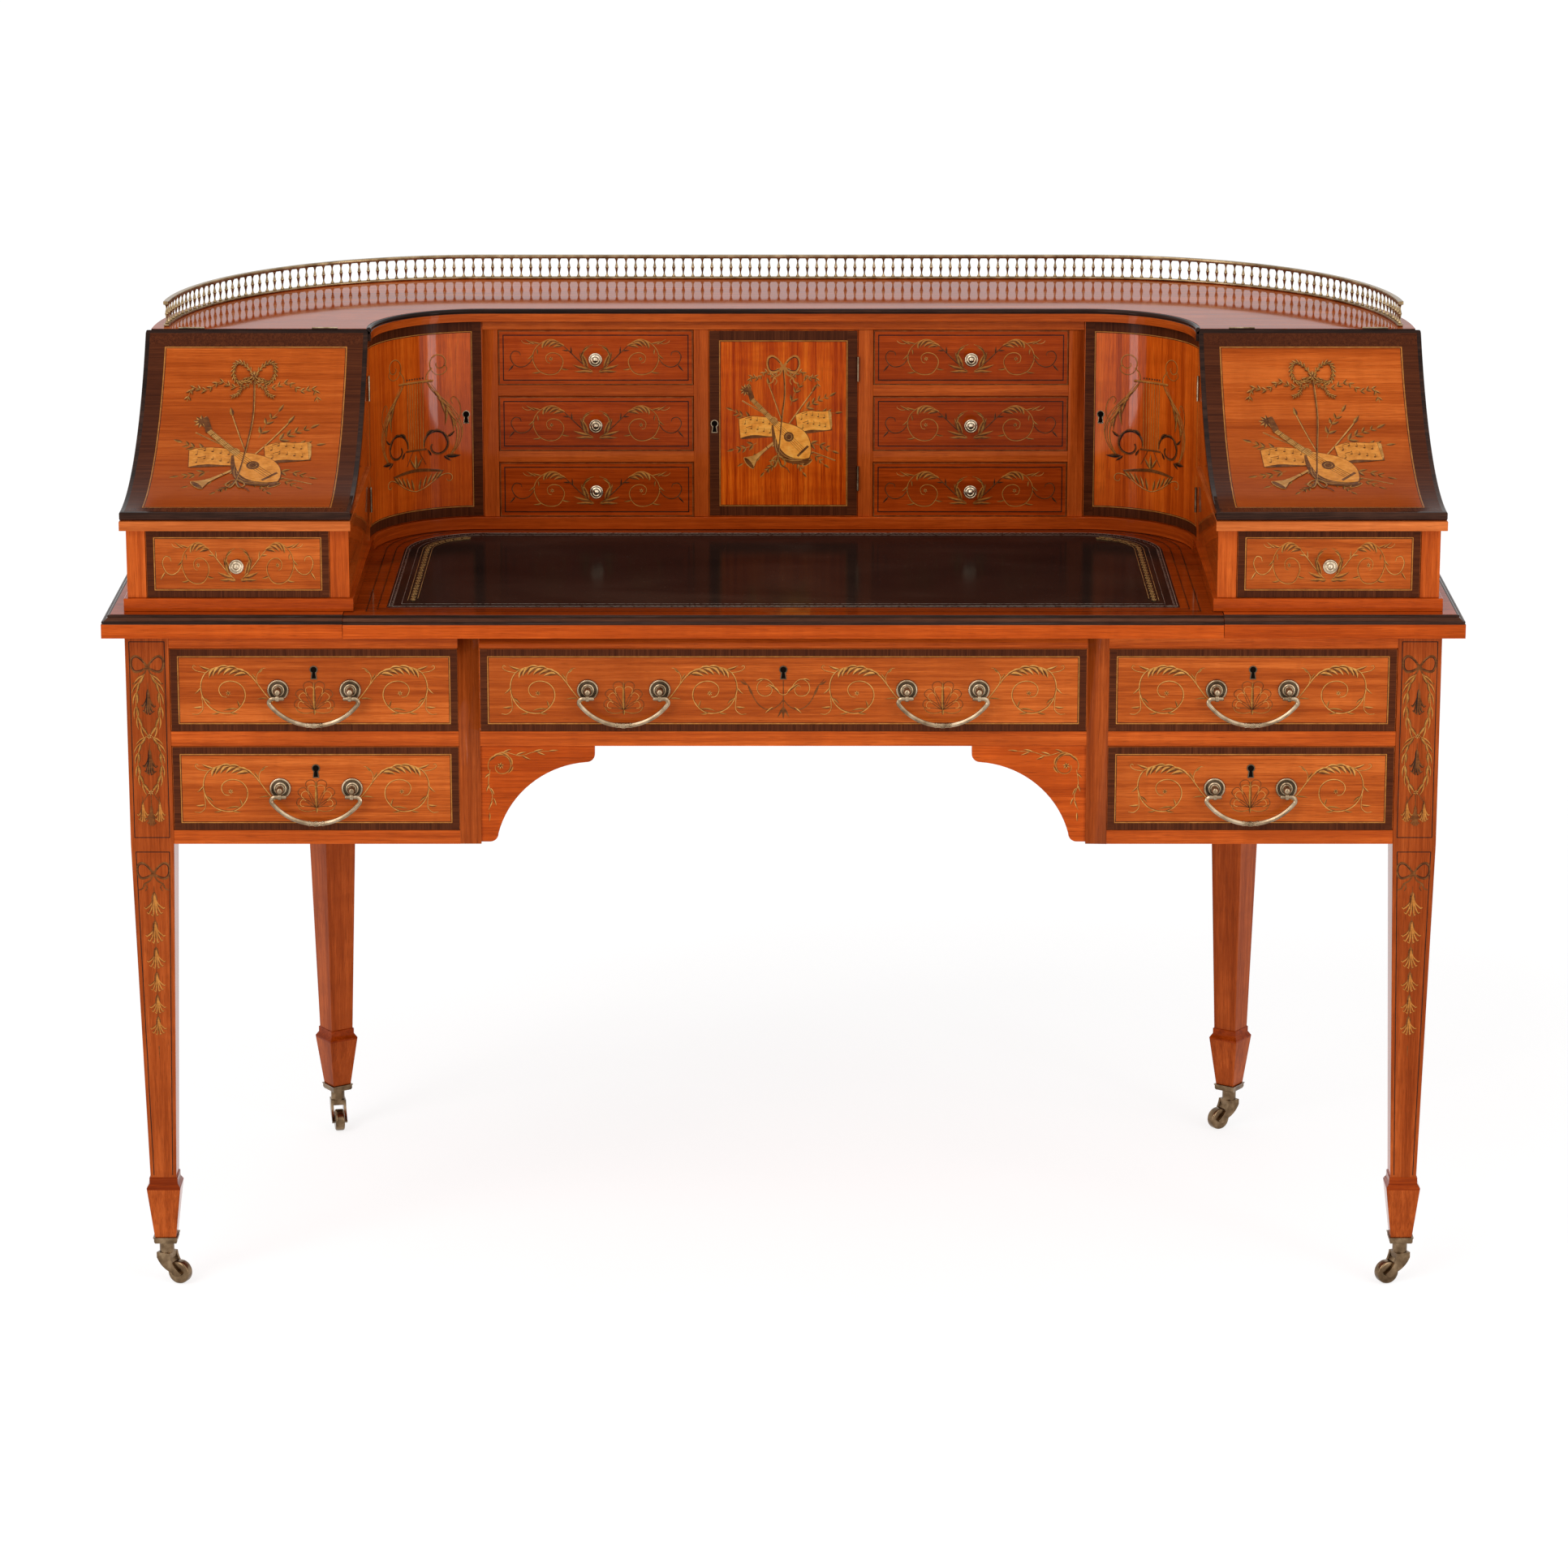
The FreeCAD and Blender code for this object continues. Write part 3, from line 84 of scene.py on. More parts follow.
class Shader(Nodes):
    """One material with its Principled surface."""

    def __init__(self, name, **surface):
        self.material = bpy.data.materials.new(name)
        self.material.use_nodes = True
        super().__init__(self.material.node_tree)
        self.surface = self.tree.nodes["Principled BSDF"].inputs
        for socket, value in surface.items():
            self.put(self.surface[socket.replace("_", " ")], value)

    def place(self):
        """Object coordinates, moved by each object's own random number."""
        where = self.add("TexCoord").outputs["Object"]
        luck = self.add("ObjectInfo").outputs["Random"]
        return self.add("VectorMath", {0: where, 1: luck}, operation="ADD").outputs[0]

    def noise(self, scale, detail=3.0, roughness=0.55, distortion=0.0):
        """Noise from 0 to 1; its scale is one number or one for each axis."""
        each = (scale,) * 3 if isinstance(scale, float) else scale
        spot = self.add("VectorMath", {0: self.place(), 1: each}, operation="MULTIPLY").outputs[0]
        wave = self.add("TexNoise", {"Vector": spot, "Scale": 1.0, "Detail": detail,
                                     "Roughness": roughness, "Distortion": distortion})
        return wave.outputs["Fac"]

    def weigh(self, *terms):
        """Sum of values, each term a (weight, value)."""
        total, *rest = [self.math("MULTIPLY", value, weight) for weight, value in terms]
        for part in rest:
            total = self.math("ADD", total, part)
        return total

    def ramp(self, value, *stops):
        """Colours at places from 0 to 1, each stop a (place, colour)."""
        node = self.add("ValToRGB", {"Fac": value})
        elements = node.color_ramp.elements
        while len(elements) < len(stops):
            elements.new(0.5)
        for element, (place, colour) in zip(elements, stops):
            element.position = place
            element.color = (*colour, 1.0)
        return node.outputs["Color"]

    def mix(self, share, a, b):
        return self.add("Mix", {"Factor": share, "A": a, "B": b}, data_type="RGBA").outputs["Result"]

    def bump(self, height, strength, distance):
        node = self.add("Bump", {"Height": height, "Strength": strength, "Distance": distance})
        self.put(self.surface["Normal"], node.outputs["Normal"])

    def colour(self, value):
        self.put(self.surface["Base Color"], value)

    def rough(self, value):
        self.put(self.surface["Roughness"], value)


def wood(name, grain, tones, figure=0.22, polish=1.0, broad=26.0, fine=210.0, soft=0.06,
         gloss=VARNISH, hollow=None):
    """French-polished veneer.

    Fibres run along grain, one axis or several; broad and fine are the scales of its stripes, and
    figure adds ribbon shimmer. Below the two heights in hollow it darkens downwards: painted shade.
    """
    shader = Shader(name, Specular_IOR_Level=0.0, Coat_Weight=polish, Coat_IOR=gloss, Coat_Roughness=soft)
    dark, middle, light = tones
    dark_grain_and_painted_shade, pit = (*dark, 1), (*(0.35 * c for c in dark), 1)

    def fibres(along, across, **settings):
        return shader.noise([along if axis in grain else across for axis in "XYZ"], **settings)

    flow = fibres(1.3, broad, detail=3, distortion=0.4)
    streak = fibres(3.0, fine, detail=5, roughness=0.62)
    pores = fibres(55.0, 1500.0, detail=2)
    fleck = fibres(28.0, 950.0, detail=3, roughness=0.65)
    tone = shader.weigh((0.36, flow), (0.38, streak), (0.26, fleck))
    colour = shader.ramp(tone, (0.41, dark), (0.5, middle), (0.59, light))
    if figure:
        shimmer = fibres(34.0, 9.0, detail=2, distortion=1.2)
        colour = shader.mix(shader.span(shimmer, 0.0, figure, 0.4, 0.65), colour, dark_grain_and_painted_shade)
    cloud = shader.noise(5.0, detail=3)
    colour = shader.mix(shader.span(cloud, 0.0, 0.45, 0.46, 0.68), colour, dark_grain_and_painted_shade)
    # Painted shade: the colour turns towards the dark tone below the heights in hollow, most below the lower
    # one.
    if hollow:
        height = shader.add("SeparateXYZ", {0: shader.add("TexCoord").outputs["Object"]}).outputs["Z"]
        colour = shader.mix(shader.span(height, 0.8, 0.0, *hollow), colour, dark_grain_and_painted_shade)
    shader.colour(shader.mix(shader.span(pores, 0.0, 0.4, 0.56, 0.7), colour, pit))
    shader.rough(shader.span(streak, 0.26, 0.4))
    shader.bump(shader.math("SUBTRACT", streak, shader.math("MULTIPLY", pores, 0.6)), 0.05, 0.0006)
    return shader.material


def cuts(name, grains, tones, **settings):
    """The same wood in several directions of grain."""
    return {grain: wood(f"{name}_{grain.lower()}", grain, tones, **settings) for grain in grains}


SATIN = ((0.29, 0.048, 0.0055), (0.45, 0.088, 0.0115), (0.60, 0.138, 0.0230))
LID = ((0.34, 0.055, 0.0060), (0.52, 0.098, 0.0125), (0.67, 0.150, 0.0240))
RAIL = ((0.32, 0.048, 0.0050), (0.48, 0.081, 0.0095), (0.63, 0.124, 0.0175))
LEG = ((0.21, 0.033, 0.0038), (0.32, 0.056, 0.0078), (0.45, 0.090, 0.0152))
FASCIA = ((0.31, 0.041, 0.0030), (0.46, 0.068, 0.0058), (0.61, 0.103, 0.0112))
SLIDE = ((0.17, 0.020, 0.0015), (0.27, 0.036, 0.0030), (0.37, 0.056, 0.0060))
DEEP = ((0.26, 0.030, 0.0016), (0.40, 0.050, 0.0036), (0.53, 0.078, 0.0076))
RIBBON = ((0.28, 0.0230, 0.0010), (0.60, 0.080, 0.0030), (0.84, 0.168, 0.0090))
# The curved doors' tones are lighter than the other satinwood: partly their own figured veneer, partly
# painted light.
DOOR_WITH_PAINTED_LIGHT = ((0.38, 0.046, 0.0024), (0.64, 0.096, 0.0056), (0.80, 0.152, 0.0110))
KING = ((0.050, 0.0120, 0.0046), (0.078, 0.0190, 0.0066), (0.112, 0.0290, 0.0096))
LEDGE_WOOD = ((0.40, 0.085, 0.0150), (0.58, 0.142, 0.0300), (0.72, 0.200, 0.0480))
EDGE = ((0.055, 0.0190, 0.0100), (0.100, 0.0360, 0.0180), (0.15, 0.0580, 0.0310))
EBONY = ((0.014, 0.0068, 0.0048), (0.034, 0.0140, 0.0088), (0.070, 0.0280, 0.0165))
LINING = ((0.25, 0.095, 0.030), (0.40, 0.175, 0.062), (0.53, 0.255, 0.10))

satin = wood("satinwood_x", "X", SATIN, soft=0.14)
# Painted shade darkens the lid's wood towards the low end of its cove.
lid_wood_painted_low_shade = wood("satinwood_lid_painted_low_shade", "X", LID, soft=0.2, polish=0.45, hollow=(0.856, 0.915))
ledge_wood = wood("satinwood_ledge", "X", LEDGE_WOOD)
rail = cuts("satinwood_rail", ("X", "Y", "Z", "XY"), RAIL)
leg_wood = wood("satinwood_leg", "Z", LEG)
fascia = cuts("fascia", ("X", "Y", "XY"), FASCIA)
slide_wood = wood("slide_satinwood", "X", SLIDE)
deep = wood("red_satinwood_x", "X", DEEP, figure=0.25, soft=0.1)
ribbon = wood("ribbon_satinwood_z", "Z", RIBBON, figure=0.3, broad=48.0, soft=0.1)
# Painted light: the curved doors' wood is set lighter than the rest of the satinwood.
door_wood_with_painted_light = wood("door_satinwood_painted_light_z", "Z", DOOR_WITH_PAINTED_LIGHT, figure=0.3, broad=45.0, gloss=1.32)
king = cuts("kingwood", "XYZ", KING, figure=0.0, broad=330.0, fine=1100.0, soft=0.2, polish=0.6)
edging = wood("ebonised_hollow", "XY", EDGE)
ebony = wood("ebonised", "XY", EBONY)
lining = cuts("drawer_lining", "XY", LINING, polish=0.0)


def veneer(name, *tones):
    """Small piece of dyed or scorched veneer with short fibres and a little variation."""
    shader = Shader(name, Specular_IOR_Level=0.0, Coat_Weight=1.0, Coat_IOR=VARNISH, Coat_Roughness=0.05)
    fibre = shader.noise((160.0, 900.0, 900.0), detail=2)
    tone = shader.weigh((0.6, shader.noise(130.0, detail=2)), (0.4, fibre))
    shader.colour(shader.ramp(tone, *zip((0.35, 0.5, 0.65), tones)))
    shader.rough(shader.span(fibre, 0.26, 0.42))
    shader.bump(fibre, 0.04, 0.0003)
    return shader.material


def brass(name, roughness, *tones):
    """Old lacquered brass with brown tarnish and brighter rubbed patches, spread at random."""
    shader = Shader(name, Metallic=1.0)
    tarnish = shader.noise(75.0, detail=4)
    shader.colour(shader.ramp(tarnish, *zip((0.28, 0.5, 0.72), tones)))
    shader.rough(shader.span(tarnish, roughness - 0.05, roughness + 0.07))
    shader.bump(shader.noise(1400.0, detail=2), 0.05, 0.0002)
    return shader.material


handle_brass = brass("handle_brass", 0.20, (0.14, 0.090, 0.050), (0.30, 0.215, 0.132), (0.46, 0.355, 0.240))
knob_brass = brass("knob_brass", 0.22, (0.26, 0.180, 0.110), (0.50, 0.390, 0.270), (0.70, 0.580, 0.440))
gallery_brass = brass("gallery_brass", 0.24, (0.14, 0.085, 0.038), (0.28, 0.190, 0.098), (0.44, 0.320, 0.185))
caster_brass = brass("caster_brass", 0.24, (0.070, 0.042, 0.022), (0.165, 0.106, 0.058), (0.30, 0.205, 0.120))
hollow_brass = brass("patinated_brass", 0.5, (0.06, 0.042, 0.026), (0.11, 0.080, 0.050), (0.17, 0.125, 0.08))


def hide(name):
    """Dark skiver: fine creases, small pits, and a worn sheen."""
    shader = Shader(name, Specular_IOR_Level=0.0, Coat_Weight=0.45, Coat_IOR=VARNISH, Coat_Roughness=0.14)
    cells = shader.add("TexVoronoi", {"Scale": 1500.0, "Vector": shader.place()}, feature="DISTANCE_TO_EDGE")
    worn = shader.noise((5.0, 9.0, 5.0), detail=5, distortion=0.5)
    pits = shader.span(shader.noise(420.0, detail=2), 0.0, 0.5, 0.68, 0.76)
    colour = shader.ramp(worn, (0.34, (0.0115, 0.0074, 0.0062)), (0.52, (0.0185, 0.0110, 0.0086)),
                         (0.7, (0.031, 0.0185, 0.0136)))
    shader.colour(shader.mix(pits, colour, (0.10, 0.062, 0.045, 1)))
    shader.rough(shader.span(worn, 0.33, 0.5))
    creases = shader.math("MINIMUM", shader.math("MULTIPLY", cells.outputs["Distance"], 6.0), 1.0)
    shader.bump(creases, 0.22, 0.0003)
    return shader.material


def gilt(name, share, bare, leaf):
    """Tooled gold or faded silver leaf, rubbed away in places."""
    shader = Shader(name, Metallic=0.7)
    rubbed = shader.noise(260.0, detail=4)
    shader.colour(shader.ramp(rubbed, (share - 0.08, bare), (share + 0.05, leaf)))
    shader.rough(shader.span(rubbed, 0.3, 0.48))
    return shader.material


leather = hide("writing_leather")
# The keyhole's near-black stands in for the shade inside the hole: painted shade.
keyhole_painted_shade = Shader("keyhole_painted_shade", Base_Color=(0.006, 0.004, 0.003, 1), Roughness=0.8,
                      Specular_IOR_Level=0.0).material
TONES = {
    "box": veneer("boxwood", (0.40, 0.16, 0.032), (0.54, 0.245, 0.056), (0.66, 0.335, 0.09)),
    "holly": veneer("holly", (0.74, 0.245, 0.030), (0.90, 0.345, 0.046), (0.95, 0.44, 0.080)),
    "page": veneer("faded_holly", (0.58, 0.195, 0.026), (0.74, 0.265, 0.038), (0.84, 0.34, 0.06)),
    "string": veneer("stringing", (0.35, 0.122, 0.022), (0.45, 0.168, 0.031), (0.55, 0.225, 0.046)),
    "olive": veneer("green_dyed_sycamore", (0.25, 0.102, 0.018), (0.37, 0.165, 0.031), (0.47, 0.23, 0.05)),
    "shade": veneer("scorched_sycamore", (0.075, 0.024, 0.007), (0.15, 0.048, 0.012), (0.22, 0.078, 0.02)),
    "black": veneer("ebony_string", (0.012, 0.007, 0.005), (0.022, 0.012, 0.008), (0.04, 0.021, 0.014)),
    "gold": gilt("gilt_tooling", 0.42, (0.10, 0.055, 0.02), (0.56, 0.37, 0.13)),
    "silver": gilt("faded_tooling", 0.44, (0.07, 0.05, 0.04), (0.34, 0.29, 0.235)),
    "king_x": king["X"], "king_y": king["Y"], "king_z": king["Z"], "field_x": lid_wood_painted_low_shade,
    "rim": handle_brass, "hole": keyhole_painted_shade,
}


# Meshes that ride on a body.

def new_piece(name, points, faces, indices, materials, body, smooth):
    """A mesh in the row frame, points in millimetres."""
    mesh = bpy.data.meshes.new(name)
    mesh.from_pydata([Vector(p) * MM for p in points], [], faces)
    for material in materials:
        mesh.materials.append(material)
    mesh.polygons.foreach_set("material_index", indices)
    mesh.polygons.foreach_set("use_smooth", [smooth] * len(mesh.polygons))
    mesh.validate()
    piece = bpy.data.objects.new(name, mesh)
    bpy.context.scene.collection.objects.link(piece)
    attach(piece, body)
    return piece


def ring_faces(rows, steps, closed=False):
    """Quads between rings of points. A closed form joins its last ring to its first, others get two ends."""
    faces = []
    for row in range(rows if closed else rows - 1):
        here, above = row * steps, (row + 1) % rows * steps
        for step in range(steps):
            after = (step + 1) % steps
            faces.append([here + step, here + after, above + after, above + step])
    if not closed:
        last = (rows - 1) * steps
        faces += [list(range(steps - 1, -1, -1)), list(range(last, last + steps))]
    return faces


class Solid:
    """Collects points and faces of several forms that make up one piece."""

    def __init__(self):
        self.points, self.faces, self.indices = [], [], []

    def add(self, points, faces, index=0):
        first = len(self.points)
        self.points += [Vector(p) for p in points]
        self.faces += [[first + n for n in face] for face in faces]
        self.indices += [index] * len(faces)

    def lathe(self, profile, base, axis, steps=28, ripple=None, hollow=(), closed=False):
        """Turned form from (radius, height) pairs.

        ripple gives a change of radius per (radius, angle), hollow lists rows that take the second
        material, and a closed profile makes a ring.
        """
        side = axis.orthogonal().normalized()
        other = axis.cross(side)
        points = []
        for radius, height in profile:
            for step in range(steps):
                angle = math.tau * step / steps
                reach = radius + (ripple(radius, angle) if ripple else 0.0)
                spoke = side * math.cos(angle) + other * math.sin(angle)
                points.append(base + axis * height + spoke * reach)
        first = len(self.indices)
        self.add(points, ring_faces(len(profile), steps, closed))
        for row in hollow:
            for step in range(steps):
                self.indices[first + row * steps + step] = 1

    def tube(self, line, radius, steps=10):
        """Bar along a line; its radius is a number or a function of the share of its length and the angle."""
        points = []
        up = Vector((0, 0, 1))
        last = len(line) - 1
        for n, spot in enumerate(line):
            way = (line[min(n + 1, last)] - line[max(n - 1, 0)]).normalized()
            side = way.cross(up)
            side = side.normalized() if side.length > 1e-4 else way.orthogonal().normalized()
            up = side.cross(way).normalized()
            for step in range(steps):
                angle = math.tau * step / steps
                reach = radius(n / last, angle) if callable(radius) else radius
                points.append(spot + (side * math.cos(angle) + up * math.sin(angle)) * reach)
        self.add(points, ring_faces(len(line), steps))

    def slab(self, outline, depth, index=0):
        """Plate from an outline of points, pushed along depth."""
        points = list(outline) + [p + depth for p in outline]
        self.add(points, ring_faces(2, len(outline)), index)

    def piece(self, name, materials, body, slot, smooth=True):
        return new_piece(name, self.points, self.faces, self.indices, materials, body, smooth)


def soften(piece, width, angle=32):
    """Small rounded arrises that catch the light."""
    weld = piece.modifiers.new("weld", "WELD")
    weld.merge_threshold = 0.00001
    bevel = piece.modifiers.new("arris", "BEVEL")
    bevel.width = width * MM
    bevel.segments = 2
    bevel.limit_method = "ANGLE"
    bevel.angle_limit = math.radians(angle)
    piece.modifiers.new("normals", "WEIGHTED_NORMAL").keep_sharp = False


def dress(name, materials, choose=lambda middle, normal: 0, arris=0.5):
    """Materials and soft arrises on a frame node; choose picks a slot from a face's middle and normal."""
    mesh = nodes[name].data
    mesh.materials.clear()
    for material in materials:
        mesh.materials.append(material)
    mesh.polygons.foreach_set("material_index", [choose(p.center / MM, p.normal) for p in mesh.polygons])
    if mesh.attributes.get("custom_normal"):
        mesh.attributes.remove(mesh.attributes["custom_normal"])
    mesh.polygons.foreach_set("use_smooth", [True] * len(mesh.polygons))
    soften(nodes[name], arris)


# Woodwork of the frame.

def box_mm(name):
    """Lowest and highest corner of a frame node, in millimetres."""
    low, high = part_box(name)
    return low / MM, high / MM


leg_low, leg_high = box_mm("legs")
frame_low, frame_high = box_mm("frieze_frame")
ledge_top = box_mm("lid_right")[0].z

# Places and sizes in the part, in millimetres, that its boxes don't give.

COLLAR = (109.0, 123.0)
KNEE = 320.0
PARTITION = 22.0
LEDGE = 10.0
MOULDING = 739.5
WELL_HALF = 455.0
WELL_FRONT = -300.0
WELL_X, WELL_Y, WELL_RADIUS = 335.0, -20.0, 120.0
DOOR_GAP = 1.2
BOARD_EDGE = 449.0
BEND_START = -29.0
CENTRE_DOOR = 80.0
SHELVES = (100.5, 317.5)


def leg_slot(middle, normal):
    """1 the dark collar above the spade foot."""
    return int(COLLAR[0] + 0.2 < middle.z < COLLAR[1] and normal.z > -0.9)


def frieze_slot(middle, normal):
    """1 the upright partitions beside the knee hole."""
    return int(KNEE - 0.1 < abs(middle.x) < KNEE + PARTITION + 0.1 and abs(normal.z) < 0.5)


def panel_slot(middle, normal):
    """0 the ledges, 1 upright, 2 along Y, 3 bent."""
    if middle.y > BEND_START:
        return 3
    if ledge_top - LEDGE - 0.8 < middle.z < ledge_top + 0.8:
        return 0 if abs(normal.x) < 0.5 else 2
    return 1 if normal.y < -0.5 and middle.z < ledge_top else 2


def divider_slot(middle, normal):
    """0 the shelves, 1 the upright walls."""
    reach = abs(middle.x)
    return int(abs(normal.z) < 0.5 and CENTRE_DOOR < reach and not SHELVES[0] < reach < SHELVES[1])


def desk_slot(middle, normal):
    """0 along X, 1 the ebonised moulding, 2 along Y, 3 the fascia under the moulding."""
    outside = abs(middle.x) >= WELL_HALF or middle.y < WELL_FRONT
    if middle.z > MOULDING and normal.z < 0.98 and outside:
        return 1
    if abs(normal.z) < 0.5:
        return 3
    return 2 if abs(normal.x) > 0.8 else 0


def board_slot(middle, normal):
    """0 along X, 1 the ebonised edges at the well and over the lids, 2 bent."""
    if (normal.y < -0.9 and abs(middle.x) > BOARD_EDGE) or 0.1 < normal.z < 0.98:
        return 1
    return 2 if abs(normal.z) < 0.5 else 0


def lid_slot(middle, normal):
    """0 the ebonised ground and edges, 1 the inside."""
    return int(normal.z < -0.3)


dress("legs", [leg_wood, slide_wood], leg_slot, arris=0.6)
dress("frieze_panels", [rail["XY"]])
dress("frieze_frame", [rail["X"], leg_wood], frieze_slot)
dress("knee_brackets", [fascia["X"]])
dress("desk_top", [fascia["X"], edging, fascia["Y"], fascia["XY"]], desk_slot, arris=0.4)
dress("writing_slide", [slide_wood, edging, slide_wood, fascia["X"]], desk_slot, arris=0.3)
dress("writing_leather", [leather], arris=0.3)
dress("upper_plinth", [fascia["XY"]], arris=0.8)
dress("upper_panels", [ledge_wood, rail["Z"], rail["Y"], rail["XY"]], panel_slot)
dress("upper_dividers", [rail["X"], rail["Z"]], divider_slot)
dress("upper_top", [fascia["X"], ebony, rail["XY"]], board_slot, arris=0.4)
for hand in HANDS:
    dress(f"lid_{hand}", [ebony, lid_wood_painted_low_shade], lid_slot, arris=1.6)
    dress(f"door_{hand}", [door_wood_with_painted_light], arris=0.6)
dress("door_centre", [ribbon], arris=0.6)


def dress_drawer(name, thick, front_wood):
    """Veneered front of a given thickness, and linings along their own lengths."""
    front = box_mm(name)[0].y

    def slot(middle, normal):
        if middle.y < front + thick + 0.05 and normal.y < 0.5:
            return 0
        return 2 if abs(normal.y) > 0.5 else 1

    dress(name, [front_wood, lining["Y"], lining["X"]], slot)


FRIEZE = ("left_upper", "left_lower", "right_upper", "right_lower", "centre")
SMALL = [f"{hand}_{level}" for hand in HANDS for level in ("low", "mid", "top")]
FRIEZE_THICK, SMALL_THICK = 18, 12
for name in FRIEZE:
    dress_drawer(f"drawer_{name}", FRIEZE_THICK, satin)
for name in SMALL:
    dress_drawer(f"small_drawer_{name}", SMALL_THICK, deep)
for hand in HANDS:
    dress_drawer(f"box_drawer_{hand}", SMALL_THICK, satin)


# Drawing kit for marquetry: lines and shapes in millimetres on a face, u to the right and v up.

def bezier(a, b, c, d, steps=14):
    """Curve from a to d that leaves towards b and arrives from c."""
    line = []
    for n in range(steps + 1):
        t = n / steps
        w = ((1 - t) ** 3, 3 * t * (1 - t) ** 2, 3 * t * t * (1 - t), t ** 3)
        line.append(tuple(sum(k * p[i] for k, p in zip(w, (a, b, c, d))) for i in (0, 1)))
    return line


def through(spots, steps=6):
    """Smooth line through spots."""
    ends = [spots[0], *spots, spots[-1]]
    line = []
    for corners in zip(ends, ends[1:], ends[2:], ends[3:]):
        for n in range(steps):
            t = n / steps
            line.append(tuple(0.5 * (2 * b + (c - a) * t + (2 * a - 5 * b + 4 * c - d) * t * t
                                     + (3 * b - a - 3 * c + d) * t ** 3) for a, b, c, d in zip(*corners)))
    return line + [spots[-1]]


def both(half):
    """A line and its mirror image, joined at the end of the line."""
    return half + [(-x, y) for x, y in half[::-1]]


def bend_points(middle, radius, start, end, steps):
    """Points of an arc; angles in degrees from +X."""
    turns = [math.radians(start + (end - start) * n / steps) for n in range(steps + 1)]
    return [(middle[0] + radius * math.cos(a), middle[1] + radius * math.sin(a)) for a in turns]


def between(a, b, parts):
    """Spots in even steps from a up to, but not at, b."""
    return [(a[0] + (b[0] - a[0]) * n / parts, a[1] + (b[1] - a[1]) * n / parts) for n in range(parts)]


def heading(line, n):
    """Direction of a line at its spot n, in degrees."""
    return math.degrees(math.atan2(line[n + 1][1] - line[n][1], line[n + 1][0] - line[n][0]))


def spiral(centre, start, end, turn_from, turn_to, steps=54, law=2.1):
    """Line that winds from one radius to another; angles in degrees. A higher law keeps wide longer."""
    line = []
    for n in range(steps + 1):
        t = n / steps
        radius = start + (end - start) * t ** law
        angle = math.radians(turn_from + (turn_to - turn_from) * t)
        line.append((centre[0] + radius * math.cos(angle), centre[1] + radius * math.sin(angle)))
    return line


def ring(centre, radius, stretch=1.0, steps=18):
    """Closed circle, or an ellipse if stretched along v."""
    return [(centre[0] + radius * math.cos(math.tau * n / steps),
             centre[1] + radius * stretch * math.sin(math.tau * n / steps)) for n in range(steps)]


